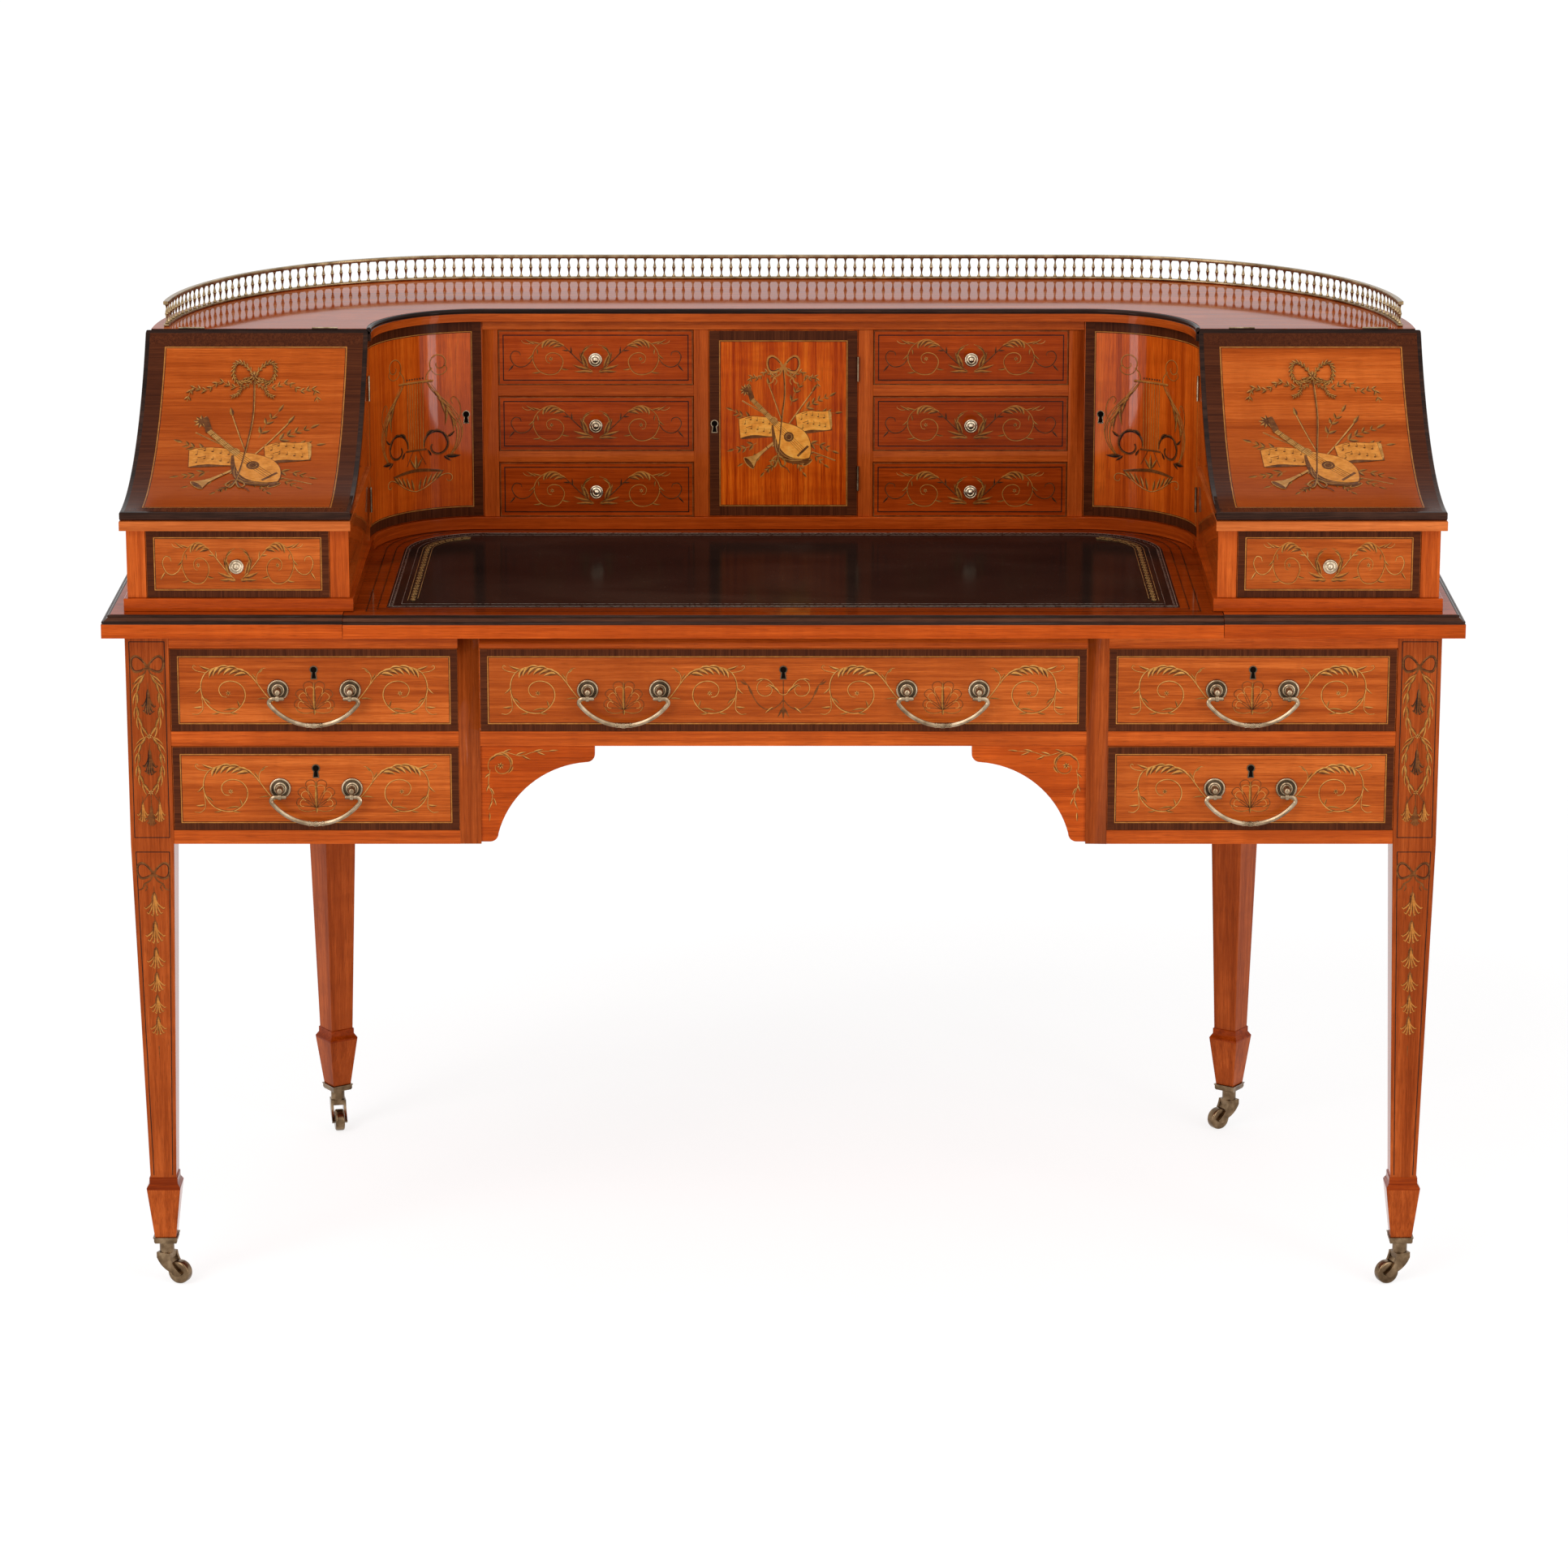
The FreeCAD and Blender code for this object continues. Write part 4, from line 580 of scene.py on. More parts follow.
class Veneers:
    """Thin veneers on one face. face(u, v, lift) gives a point of the row frame in millimetres."""

    THICK = 0.25
    HAIR = 0.006  # rise of one veneer over another, on a flat face
    BENT_HAIR = 0.03  # the same on a bent face
    SLACK = 1.3  # longest side of a triangle, in longest steps
    MITRE = 2.5  # longest corner of a line, in half widths

    def __init__(self, name, body, face, fine=None, lift=0.10):
        """fine is the longest step on a bent face; a flat face needs none."""
        self.name, self.body, self.face, self.fine, self.lift = name, body, face, fine, lift
        self.points, self.faces, self.tones = [], [], []
        self.laid = []

    def follow(self, spots, closed):
        """The same line with steps short enough for the face."""
        ends = list(spots) + ([spots[0]] if closed else [])
        line = []
        for a, b in zip(ends, ends[1:]):
            line += between(a, b, math.ceil(math.dist(a, b) / self.fine) or 1)
        return line if closed else line + [ends[-1]]

    def split(self, triangles):
        """The same triangles cut until none has a side too long for the face."""
        waiting, done = list(triangles), []
        while waiting:
            a, b, c = waiting.pop()
            far = max(((a, b, c), (b, c, a), (c, a, b)), key=lambda t: math.dist(t[0], t[1]))
            if math.dist(far[0], far[1]) <= self.fine * self.SLACK:
                done.append((a, b, c))
                continue
            a, b, c = far
            middle = ((a[0] + b[0]) / 2, (a[1] + b[1]) / 2)
            waiting += [(a, middle, c), (middle, b, c)]
        return done

    def add(self, flat, faces, tone):
        """Each veneer lies a hair above those it may cross, so that no two share a plane."""
        first = len(self.points)
        left, right = min(u for u, _ in flat), max(u for u, _ in flat)
        low, high = min(v for _, v in flat), max(v for _, v in flat)
        under = [lift for a, b, c, d, lift in self.laid if a < right and left < b and c < high and low < d]
        step = self.BENT_HAIR if self.fine else self.HAIR
        lift = max(under) + step if under else self.lift
        self.laid.append((left, right, low, high, lift))
        self.points += [self.face(u, v, lift) for u, v in flat]
        self.faces += [[first + n for n in face] for face in faces]
        self.tones += [tone] * len(faces)

    def line(self, spots, width, tone, closed=False, taper=None):
        """Strip along spots; taper thins its two ends to these shares of the width."""
        if self.fine:
            spots = self.follow(spots, closed)
        count = len(spots)
        flat, faces = [], []
        for n, (u, v) in enumerate(spots):
            before = spots[n - 1] if n or closed else spots[0]
            after = spots[(n + 1) % count] if n < count - 1 or closed else spots[-1]
            a, b = (u - before[0], v - before[1]), (after[0] - u, after[1] - v)
            way = [p / (math.hypot(*a) or 1) + q / (math.hypot(*b) or 1) for p, q in zip(a, b)]
            size = math.hypot(*way) or 1.0
            half = width / 2
            if closed or 0 < n < count - 1:
                half *= min(2.0 / size, self.MITRE)
            if taper:
                t = n / (count - 1)
                swell = math.sin(math.pi * t) ** 0.6
                half *= (taper[0] * (1 - t) + taper[1] * t) * (1 - swell) + swell
            flat += [(u - way[1] / size * half, v + way[0] / size * half),
                     (u + way[1] / size * half, v - way[0] / size * half)]
        for n in range(count if closed else count - 1):
            a, b = 2 * n, 2 * ((n + 1) % count)
            faces.append([a, a + 1, b + 1, b])
        self.add(flat, faces, tone)

    def shape(self, outline, tone):
        """Veneer that fills an outline."""
        flat = [Vector((u, v, 0)) for u, v in outline]
        turned = []
        for a, b, c in tessellate_polygon([flat]):
            area = (flat[b] - flat[a]).cross(flat[c] - flat[a]).z
            turned.append((a, b, c) if area > 0 else (a, c, b))
        if self.fine:
            pieces = self.split([tuple(outline[n] for n in face) for face in turned])
            self.add([spot for piece in pieces for spot in piece],
                     [(3 * n, 3 * n + 1, 3 * n + 2) for n in range(len(pieces))], tone)
        else:
            self.add(outline, turned, tone)

    def panel(self, left, right, low, high, tone, cells=1):
        """Rectangle cut into cells along u, for bent faces."""
        flat = [(left + (right - left) * n / cells, v) for n in range(cells + 1) for v in (low, high)]
        self.add(flat, [[2 * n, 2 * n + 2, 2 * n + 3, 2 * n + 1] for n in range(cells)], tone)

    def piece(self):
        """All the veneers as one mesh with some thickness."""
        used = sorted(set(self.tones))
        piece = new_piece(self.name, self.points, self.faces, [used.index(tone) for tone in self.tones],
                          [TONES[tone] for tone in used], self.body, bool(self.fine))
        thick = piece.modifiers.new("veneer", "SOLIDIFY")
        thick.thickness = self.THICK * MM
        thick.offset = -1
        if self.fine:
            piece.modifiers.new("normals", "WEIGHTED_NORMAL").weight = 100


class Pen:
    """Draws on veneers in a frame of its own: moved, turned, scaled and, if flipped, mirrored."""

    SHADE_OFFSET, SHADE_WIDTH = 0.33, 0.42

    def __init__(self, sheet, u=0.0, v=0.0, scale=(1.0, 1.0), turn=0.0, flip=False):
        self.sheet, self.u, self.v = sheet, u, v
        self.scale_u, self.scale_v = scale
        self.turn = math.radians(turn)
        self.flip = flip

    def at(self, u=0.0, v=0.0, turn=0.0, scale=1.0, flip=False):
        """Another pen in the frame of this one, which is neither turned nor flipped."""
        return Pen(self.sheet, self.u + u * self.scale_u, self.v + v * self.scale_v,
                   (self.scale_u * scale, self.scale_v * scale), turn, flip)

    def halves(self, scale=1.0):
        """Two pens at the origin of this one, the second mirrored."""
        return [self.at(scale=scale, flip=flip) for flip in (False, True)]

    def put(self, spots):
        """Spots of this pen's frame as places on the face."""
        cos, sin = math.cos(self.turn), math.sin(self.turn)
        placed = []
        for x, y in spots:
            x, y = x * cos - y * sin, x * sin + y * cos
            placed.append((self.u + x * self.scale_u * (-1 if self.flip else 1), self.v + y * self.scale_v))
        return placed

    def line(self, spots, width, tone, closed=False, taper=None):
        self.sheet.line(self.put(spots), width, tone, closed, taper)

    def shape(self, outline, tone):
        self.sheet.shape(self.put(outline), tone)

    def vine(self, spots, width=1.3, tone="box", shade="shade"):
        """Stem with a shaded edge."""
        self.line(spots, width, tone, taper=(0.9, 0.35))
        offset = width * self.SHADE_OFFSET
        edge = []
        for n, (x, y) in enumerate(spots):
            before, after = spots[max(n - 1, 0)], spots[min(n + 1, len(spots) - 1)]
            dx, dy = after[0] - before[0], after[1] - before[1]
            size = math.hypot(dx, dy) or 1.0
            edge.append((x + dy / size * offset, y - dx / size * offset))
        self.line(edge, width * self.SHADE_WIDTH, shade, taper=(0.5, 0.3))

    def stem(self, spots, width=1.3, tone="box", shade="shade"):
        """Vine that bends smoothly through spots."""
        self.vine(through(spots), width, tone, shade)

    def leaf(self, root, angle, length, width, tone="box", shade="shade", curl=0.0):
        """Pointed leaf in two halves, one of them scorched."""
        steps = 8
        x, y = root
        spine, left, right = [], [], []
        for n in range(steps + 1):
            t = n / steps
            way = math.radians(angle + curl * t)
            cos, sin = math.cos(way), math.sin(way)
            if n:
                x, y = x + cos * length / steps, y + sin * length / steps
            half = width / 2 * math.sin(math.pi * t ** 0.75) + 0.02
            spine.append((x, y))
            left.append((x - sin * half, y + cos * half))
            right.append((x + sin * half, y - cos * half))
        back = spine[-2:0:-1]
        self.shape(left + back, tone)
        self.shape(right + back, shade)

    def leaves(self, rows, tone="box", shade="shade"):
        """Leaves from rows of place, angle, length, width and curl."""
        for u, v, angle, length, width, curl in rows:
            self.leaf((u, v), angle, length, width, tone, shade, curl)

    def dot(self, centre, radius):
        self.shape(ring(centre, radius, steps=12), "shade")

    def flower(self, centre, size, petals=6):
        """Ring of petals about a dark dot."""
        for n in range(petals):
            self.leaf(centre, 360 * n / petals + 15, size, size * 0.45)
        self.dot(centre, size * 0.26)

    def sprig(self, root, angle, length, pairs, size):
        """Twig with pairs of leaves and one at its tip."""
        cos, sin = math.cos(math.radians(angle)), math.sin(math.radians(angle))
        bend = (root[0] + (cos * 0.5 - sin * 0.08) * length, root[1] + (sin * 0.5 + cos * 0.08) * length)
        tip = (root[0] + cos * length, root[1] + sin * length)
        twig = through([root, bend, tip], 5)
        self.line(twig, 0.7, "olive", taper=(0.8, 0.4))
        for n in range(1, pairs + 1):
            spot = twig[int(n * (len(twig) - 1) / (pairs + 1))]
            grown = size * (1.0 - 0.12 * n)
            for side in (1, -1):
                self.leaf(spot, angle + 48 * side, grown, grown * 0.36, "olive", curl=-18 * side)
        self.leaf(tip, angle, size * 0.9, size * 0.3, "olive")


# Traditional motifs, each about its own origin.

FRIEZE_STEM = ((6, -13), (13, -5), (21, 6), (28.5, 15.5), (37, 21.5), (48, 25), (59, 25.5), (70, 22.5),
               (77, 17), (80.7, 8), (80.7, -2), (77, -12), (70, -20), (60, -24.3), (50, -24.3), (41.5, -19.3),
               (35.7, -10.7), (35, -2), (38.6, 5), (45.7, 9.3), (54.3, 9.3), (60.7, 5), (62, -1), (59, -6.4),
               (54, -7.5))
FRIEZE_TENDRILS = (((75, 19), (82, 20), (86.5, 21.5), (89.5, 24.5), (88, 27), (86, 25.5)),
                   ((21, 6), (22.5, 13), (20.5, 19), (16, 23.5), (12.5, 24)),
                   ((80.5, -6), (79.5, -15), (80, -21.5), (85, -26), (91, -25.5)))
FRIEZE_LEAVES = ((32, 17.5, 16, 15, 4.2, -46), (38, 21.2, 8, 15, 4.4, -50), (45, 23.8, -2, 15, 4.6, -54),
                 (52.5, 25.2, -10, 14.5, 4.6, -56), (60, 25, -20, 13.5, 4.4, -56),
                 (66.5, 23.2, -32, 12, 4.0, -54), (34, 19.5, 44, 13, 3.0, -62), (43, 23.8, 34, 13, 3.0, -62),
                 (29, 15, 62, 12, 2.6, -50), (52, 25.4, 24, 13, 2.8, -60), (80, -18, -20, 10, 2.4, 30),
                 (70.5, 22.3, 6, 13, 2.6, 25), (81, 3, -62, 10, 1.8, 30))
FRIEZE_DARK = ((78.5, -8.5, 202, 10, 1.9, 35), (43, -20.5, 12, 16, 1.8, -35), (41, -18.5, 84, 8, 1.8, -20),
               (22.5, 12, 38, 8, 1.6, 30), (20, 19, 150, 7, 1.5, -30), (11, -9, 10, 12, 1.5, -25),
               (62, -24, -28, 9, 1.7, 30), (51, -24.2, 205, 9, 1.7, -30))


def frieze_scroll(pen):
    """Leafy scroll that grows outwards from a rosette and winds round a flower."""
    pen.stem(FRIEZE_STEM, 1.35)
    for tendril in FRIEZE_TENDRILS:
        pen.stem(tendril, 0.85)
    pen.leaves(FRIEZE_LEAVES)
    pen.leaves(FRIEZE_DARK, "olive")
    pen.flower((52.5, -3.2), 3.0)


PETALS = ((13, 31, 10.5), (40, 27, 10), (70, 22, 9))


def palmette(pen):
    """Fan of outlined petals about a centre spike."""
    steps = 28
    for side in (1, -1):
        for angle, length, width in PETALS:
            way = math.radians(90 - angle * side)
            cos, sin = math.cos(way), math.sin(way)
            petal = []
            for n in range(steps + 1):
                swell = math.sin(math.pi * n / steps)
                along = length * swell ** 0.7
                wide = width / 2 * math.sin(math.tau * n / steps) * (0.35 + 0.85 * swell)
                petal.append((along * cos - wide * sin, along * sin + wide * cos))
            pen.line(petal, 0.75, "shade")
            pen.line([(x * 0.82, y * 0.82) for x, y in petal[6:23]], 0.5, "box")
        pen.stem([(0, -2), (9 * side, -4), (17 * side, -2), (20 * side, 3)], 0.8, "olive")
    pen.leaf((0, -1), 90, 33, 2.8, "olive")
    pen.leaf((0, 0), -90, 6, 2.6, "olive")


def key_spray(pen):
    """Two scrolls about a stem, under a keyhole."""
    pen.line([(0, 11), (0, -26)], 1.0, "shade")
    scroll = bezier((0, -5), (8, -5), (10, 12), (20, 12)) + spiral((18, 2), 10, 1.5, 78, -280, 30)[1:]
    for half in pen.halves():
        half.vine(scroll, 0.95)
        half.vine(bezier((0, -10), (10, -26), (24, -24), (32, -6)) + [(36, 4), (43, 12)], 1.0, "shade")
        half.leaves(((4, -3, 55, 17, 2.6, -30), (11, -18, -40, 11, 2.0, 0), (20, 12, 10, 9, 1.8, -40)))
        half.leaves(((32, -6, 65, 14, 2.4, 0), (0, -18, -62, 13, 2.2, 0), (38, 6, 10, 9, 1.8, 40)), "shade")
    pen.leaf((0, -18), -90, 13, 2.8, "shade")


SPRAY_REACH, SPRAY_RISE = 99.0, 22.0
SMALL_STEM = ((36, 13.5), (44, 19), (52, 20.5), (62, 16), (68.5, 8.7), (70.6, 0.8), (69, -7), (63.5, -15),
              (54, -19), (44, -17.5), (38, -10), (37, -2.4), (42, 4), (50, 5.5), (55.5, 1.6), (54.6, -4.6),
              (51, -6))
SMALL_DARK = ((70.8, -1), (76, -7.5), (84, -10.5), (91.5, -7.5), (95.5, 0.8), (92, 7), (86, 6.3), (84.5, 2.5))
SMALL_LEAVES = ((36, 13.6, 14, 13, 3.6, -46), (42, 17.4, 2, 13, 3.8, -52), (48, 19.6, -10, 12.5, 3.8, -56),
                (54, 19.8, -26, 11.5, 3.6, -54), (35, 13, 46, 11, 2.4, -60), (43, 18.4, 32, 10, 2.2, -60),
                (9, -11, 78, 19, 3.2, -22), (8, -13, 4, 19, 3.4, 22), (7, -14.5, -14, 17, 3.0, 18),
                (3, -16, -4, 10, 2.6, 12), (68, 15, 18, 13, 1.9, 20), (62, 16, 2, 12, 1.9, 25))
SMALL_OLIVE = ((12, -9, 58, 17, 2.8, 20), (62, -16, -24, 10, 1.8, 30), (39, -12, 204, 9, 1.8, -25),
               (70, 4, -58, 9, 1.7, 30), (57, 17.5, -48, 8, 2.2, -50), (66, 10, -112, 7, 1.6, 30))


def small_spray(sheet, reach, rise, dark="shade", edge="black"):
    """On each side of a knob: leaves below it, a stem that rises from them, a scroll and part of a wreath."""
    for half in Pen(sheet, scale=(reach / SPRAY_REACH, rise / SPRAY_RISE)).halves():
        half.stem(SMALL_STEM, 1.25, "string")
        half.stem([(5, -15), (12, -9), (20, -2), (28, 6), (36, 13.5)], 1.2, dark, edge)
        half.stem(SMALL_DARK, 1.1, dark, edge)
        half.stem([(62, 16), (69, 17), (76, 15.5), (81, 17), (83, 19.5)], 0.7)
        half.leaves(SMALL_LEAVES, "string")
        half.leaves(SMALL_OLIVE, "olive")
        half.leaves(((27, 5, 84, 8, 1.7, 0), (30, 8, 4, 8, 1.7, 0), (92, -8, -50, 10, 2.0, 0)), dark, edge)
        half.stem([(4, -15), (13, -9), (16, 1), (12, 11), (3, 15)], 0.8, "olive")
        half.leaves(((14, -7, 62, 9, 2.2, 40), (16, 0, 92, 9, 2.2, 40), (14, 7, 122, 9, 2.2, 40)), "olive")
        half.flower((50.3, -1.2), 2.6)


BOW_LOOP = ((0, 0), (5.5, 7.5), (11, 11), (15, 8.5), (15.5, 1), (12.5, -4.5), (6.5, -4), (0, 0))
BOW_TAIL = ((0, 0), (3.5, -7), (9, -10.5), (11, -15), (15, -17))
BOW_SIZE = 1.08


def bow(pen, size, tone="shade"):
    """Ribbon bow with two tails on each side."""
    loop = through(BOW_LOOP, 5)
    for half in pen.halves(size):
        half.line(loop, 2.3 * size, tone)
        half.line([(x * 0.9 + 0.8, y * 0.86 + 0.4) for x, y in loop[3:-3]], 0.7 * size, "black")
        half.line(through(BOW_TAIL, 4), 1.6 * size, tone, taper=(0.8, 0.5))
        half.line(through([(9, -10.5), (6.5, -14), (8.5, -18)], 4), 1.1 * size, tone, taper=(0.9, 0.4))
    pen.shape(ring((0, 0), 2.3 * size, 1.2, 10), tone)


def husk(pen, size, tone="string", shade="shade", wide=1.0):
    """Bellflower: petals hang from a stalk, flare and turn outwards at their tips."""
    pen.leaf((0, size * 0.1), -90, size * 0.9, size * 0.26 * wide, "shade", shade)
    for side in (1, -1):
        for spread, drop in ((0.38, 0.70), (0.27, 0.93), (0.09, 1.02)):
            tip = (side * spread * wide * size, -drop * size)
            petal = bezier((0, 0), (side * 0.04 * size, -0.5 * size), (tip[0] * 0.6, tip[1] * 0.82), tip, 9)
            pen.vine(petal + [(tip[0] + side * 0.08 * size, tip[1] + 0.05 * size)], 0.085 * size, tone, shade)
    pen.line([(0, size * 0.34), (0, -size * 0.1)], 0.8, "shade", taper=(0.5, 1.0))


STILE_KNOTS = (0.335, 0.02, -0.268)
STILE_OVAL = ((3, 0.0), (10, 0.16), (12.5, 0.42), (11.5, 0.68), (6, 0.9), (0, 1.0))


def stile_chain(pen, height):
    """Bow, two leafy ovals joined at flowers with husks hung inside them, and three husks below."""
    bow(pen.at(0, height * 0.372), BOW_SIZE)
    for top, low in zip(STILE_KNOTS, STILE_KNOTS[1:]):
        top, low = top * height, low * height
        span = top - low
        branch = through([(u, top - span * drop) for u, drop in STILE_OVAL])
        for half in pen.halves():
            half.vine(branch, 0.85, "string")
            for n in (1, 5, 9, 14, 18, 22):
                way = heading(branch, n)
                half.leaf(branch[n], way + 28, span * 0.23, 2.3, "string", curl=-34)
                half.leaf(branch[n], way - 26, span * 0.2, 2.2, "olive", curl=34)
        pen.flower((0, low), 3.2)
        husk(pen.at(0, top - span * 0.26), 25, "shade", "black", 0.62)
    for u, drop, tone in ((-9, 0.32, "string"), (0, 0.34, "shade"), (9, 0.32, "string")):
        pen.line([(u * 0.3, -height * 0.275), (u, -height * drop)], 0.7, "shade")
        husk(pen.at(u, -height * drop), 20, tone, wide=0.62)


def lute(pen, pale):
    """Lute with ribs, rose, strings and a bent pegbox; its neck points up."""
    body = []
    for n in range(19):
        t = n / 18
        body.append((13.5 * math.sin(math.pi * t) ** 0.8 * (1.12 - 0.5 * t), -22 + 42 * t))
    outline = both(body)
    pen.shape([(x * 1.14 - 3.2, y - 1.6) for x, y in outline], "shade")
    for bend in (-13.5, -16):
        pen.line([(bend * math.sin(math.pi * n / 12) ** 0.8, -22 + 3 * n) for n in range(1, 12)], 0.5, "box")
    pen.shape(outline, pale)
    pen.line(outline, 0.6, "shade", closed=True)
    pen.shape([(-2.2, 16), (2.2, 16), (1.7, 44), (-1.7, 44)], "box")
    pen.shape([(-2.4, 44), (2.4, 44), (6.5, 53), (3.5, 54.5)], "shade")
    pen.shape(ring((0, 2), 4.0), "shade")
    pen.shape([(-6, -15), (6, -15), (6, -13.2), (-6, -13.2)], "shade")
    pen.line(ring((0, 2), 2.4, steps=12), 0.6, "box", closed=True)
    for x in (-1.4, -0.5, 0.5, 1.4):
        pen.line([(x * 1.7, -14), (x, 44)], 0.28, "black")
    for y in (22, 28, 34, 40):
        pen.line([(-1.9, y), (1.9, y)], 0.35, "black")


def music_sheet(pen, wide, high, pale):
    """Curling page with ruled staves and notes."""
    def page(*spots):
        return [(x, y + 2.0 * math.sin(x / wide * math.pi * 1.6) + x * 0.05) for x, y in spots]

    top, pitch, stalk = high / 2, high * 0.055, high * 0.18
    across = [wide * n / 10 for n in range(11)]
    outline = page(*((x, top) for x in across), *((x, -top) for x in across[::-1]))
    corners = ((0, top), (wide, top), (wide, -top), (0, -top))
    pen.shape(page(*((x + 1.4, y - 1.2) for x, y in corners)), "shade")
    pen.shape(outline, pale)
    pen.line(outline, 0.55, "shade", closed=True)
    for middle in (high * 0.24, -high * 0.22):
        for n in range(-2, 3):
            pen.line(page(*((wide * (0.08 + 0.105 * k), middle + n * pitch) for k in range(9))), 0.2, "olive")
        for n in range(5):
            x, y = wide * (0.16 + 0.17 * n), middle + pitch * (n * 3 % 4 - 1.5)
            pen.shape(page(*ring((x, y), 0.95, 0.75, 9)), "shade")
            pen.line(page((x + 0.8, y), (x + 0.8, y + stalk)), 0.35, "shade")
        beam = page((wide * 0.16 + 1, middle + stalk), (wide * 0.33 + 1, middle + high * 0.2))
        pen.line(beam, 0.6, "shade")
    pen.shape(page((wide, top), (wide + 3, high * 0.36), (wide + 2, -high * 0.3), (wide, -top)), "box")


def horn(pen):
    """Straight horn with a flared bell; the bell points down."""
    edge = [(1.0, 34), (1.6, -2), (3.0, -14), (8.5, -24)]
    bell = ring((0, -24), 8.5, 0.34, 20)
    pen.shape(both(edge), "box")
    pen.shape(bell, "shade")
    pen.line(bell, 0.8, "box", closed=True)
    pen.line(edge, 0.6, "shade")
    for y in (4, 18, 30):
        pen.line([(-1.8, y), (1.8, y)], 1.0, "shade")


def garland(pen, spots, size):
    """Chain of small leaves along a line."""
    line = through(spots, 5)
    pen.line(line, 0.6, "olive")
    for n in range(1, len(line) - 1, 2):
        way = heading(line, n)
        pen.leaf(line[n], way + 38, size, size * 0.34)
        pen.leaf(line[n], way - 38, size, size * 0.34, "olive")


SPRIGS = (((-34, 2), 158, 24, 3, 9.6), ((22, 10), 30, 34, 4, 10.2), ((8, 16), 62, 32, 3, 9.6),
          ((30, 4), 8, 28, 3, 9.6), ((26, -26), -18, 30, 3, 9.6), ((-30, -26), 196, 26, 3, 9.6),
          ((-8, -42), -128, 22, 3, 8.4), ((8, -42), -52, 22, 3, 8.4), ((24, -36), -34, 26, 3, 8.4),
          ((-24, -38), -152, 24, 3, 8.4))
STICKS = (((-46, 22), (-6, -2)), ((32, -36), (58, -46)), ((10, -34), (-16, 40)), ((-12, -30), (32, 32)))


def trophy(pen, rise, swag, pale="holly", leafy=False):
    """Musical trophy hung from a bow at a given rise: lute, music, horns, sticks, sprigs and garlands."""
    for sprig in SPRIGS:
        pen.sprig(*sprig)
    for foot, tip in STICKS:
        pen.line([foot, tip], 1.5, "box")
        pen.line([(x + 0.6, y - 0.5) for x, y in (foot, tip)], 0.6, "shade")
    pen.leaf((-16, 40), 104, 9, 3.4, "olive")
    pen.leaf((32, 32), 58, 10, 3.2, "olive")
    pen.flower((-42, 34), 7.0, 9)
    horn(pen.at(17, -34, 34, 0.72))
    music_sheet(pen.at(-49, -10, 4), 40, 22, pale)
    music_sheet(pen.at(15, -5, 8), 37, 22, pale)
    horn(pen.at(-21, -34, -50, 0.95))
    lute(pen.at(8, -21, 44, 1.4), pale)
    staff = through([(0, rise - 1), (1.5, rise * 0.52), (-1.5, 4), (-4, -24), (-6, -40)])
    pen.line(staff, 1.8, "shade")
    pen.line([(x + 0.7, y) for x, y in staff], 0.5, "box")
    drape = ((0.3, 10), (0.55, 5), (0.78, 13), (1.0, 11), (1.08, 24))
    for flip in (False, True):
        garland(pen.at(flip=flip), [(3, rise)] + [(swag * out, rise - drop) for out, drop in drape], 5.0)
        if leafy:
            knot = pen.at(0, rise, scale=1.15, flip=flip)
            knot.line(through(BOW_LOOP, 5), 1.6, "olive")
            garland(knot, BOW_LOOP, 3.4)
            garland(knot, BOW_TAIL, 3.0)
        foot = pen.at(-6, -40, flip=flip)
        foot.line(through([(0, 0), (5, -3), (8, -9), (4, -13), (1, -7), (0, 0)], 5), 1.5, "olive")
        foot.line(through([(0, 0), (4, -11), (10, -15), (13, -20)], 5), 1.2, "shade", taper=(0.9, 0.4))
    if leafy:
        pen.flower((0, rise), 4.0)
    else:
        bow(pen.at(0, rise), 1.12, "string")


LYRE_ARM = ((19, 55), (14, 49), (13.5, 43), (19, 33), (30, 20), (39, 6), (43.5, -8), (42, -23), (34, -36))
LYRE_VINES = ((12, 3.0), (18, 5.5), (26, 4.5))


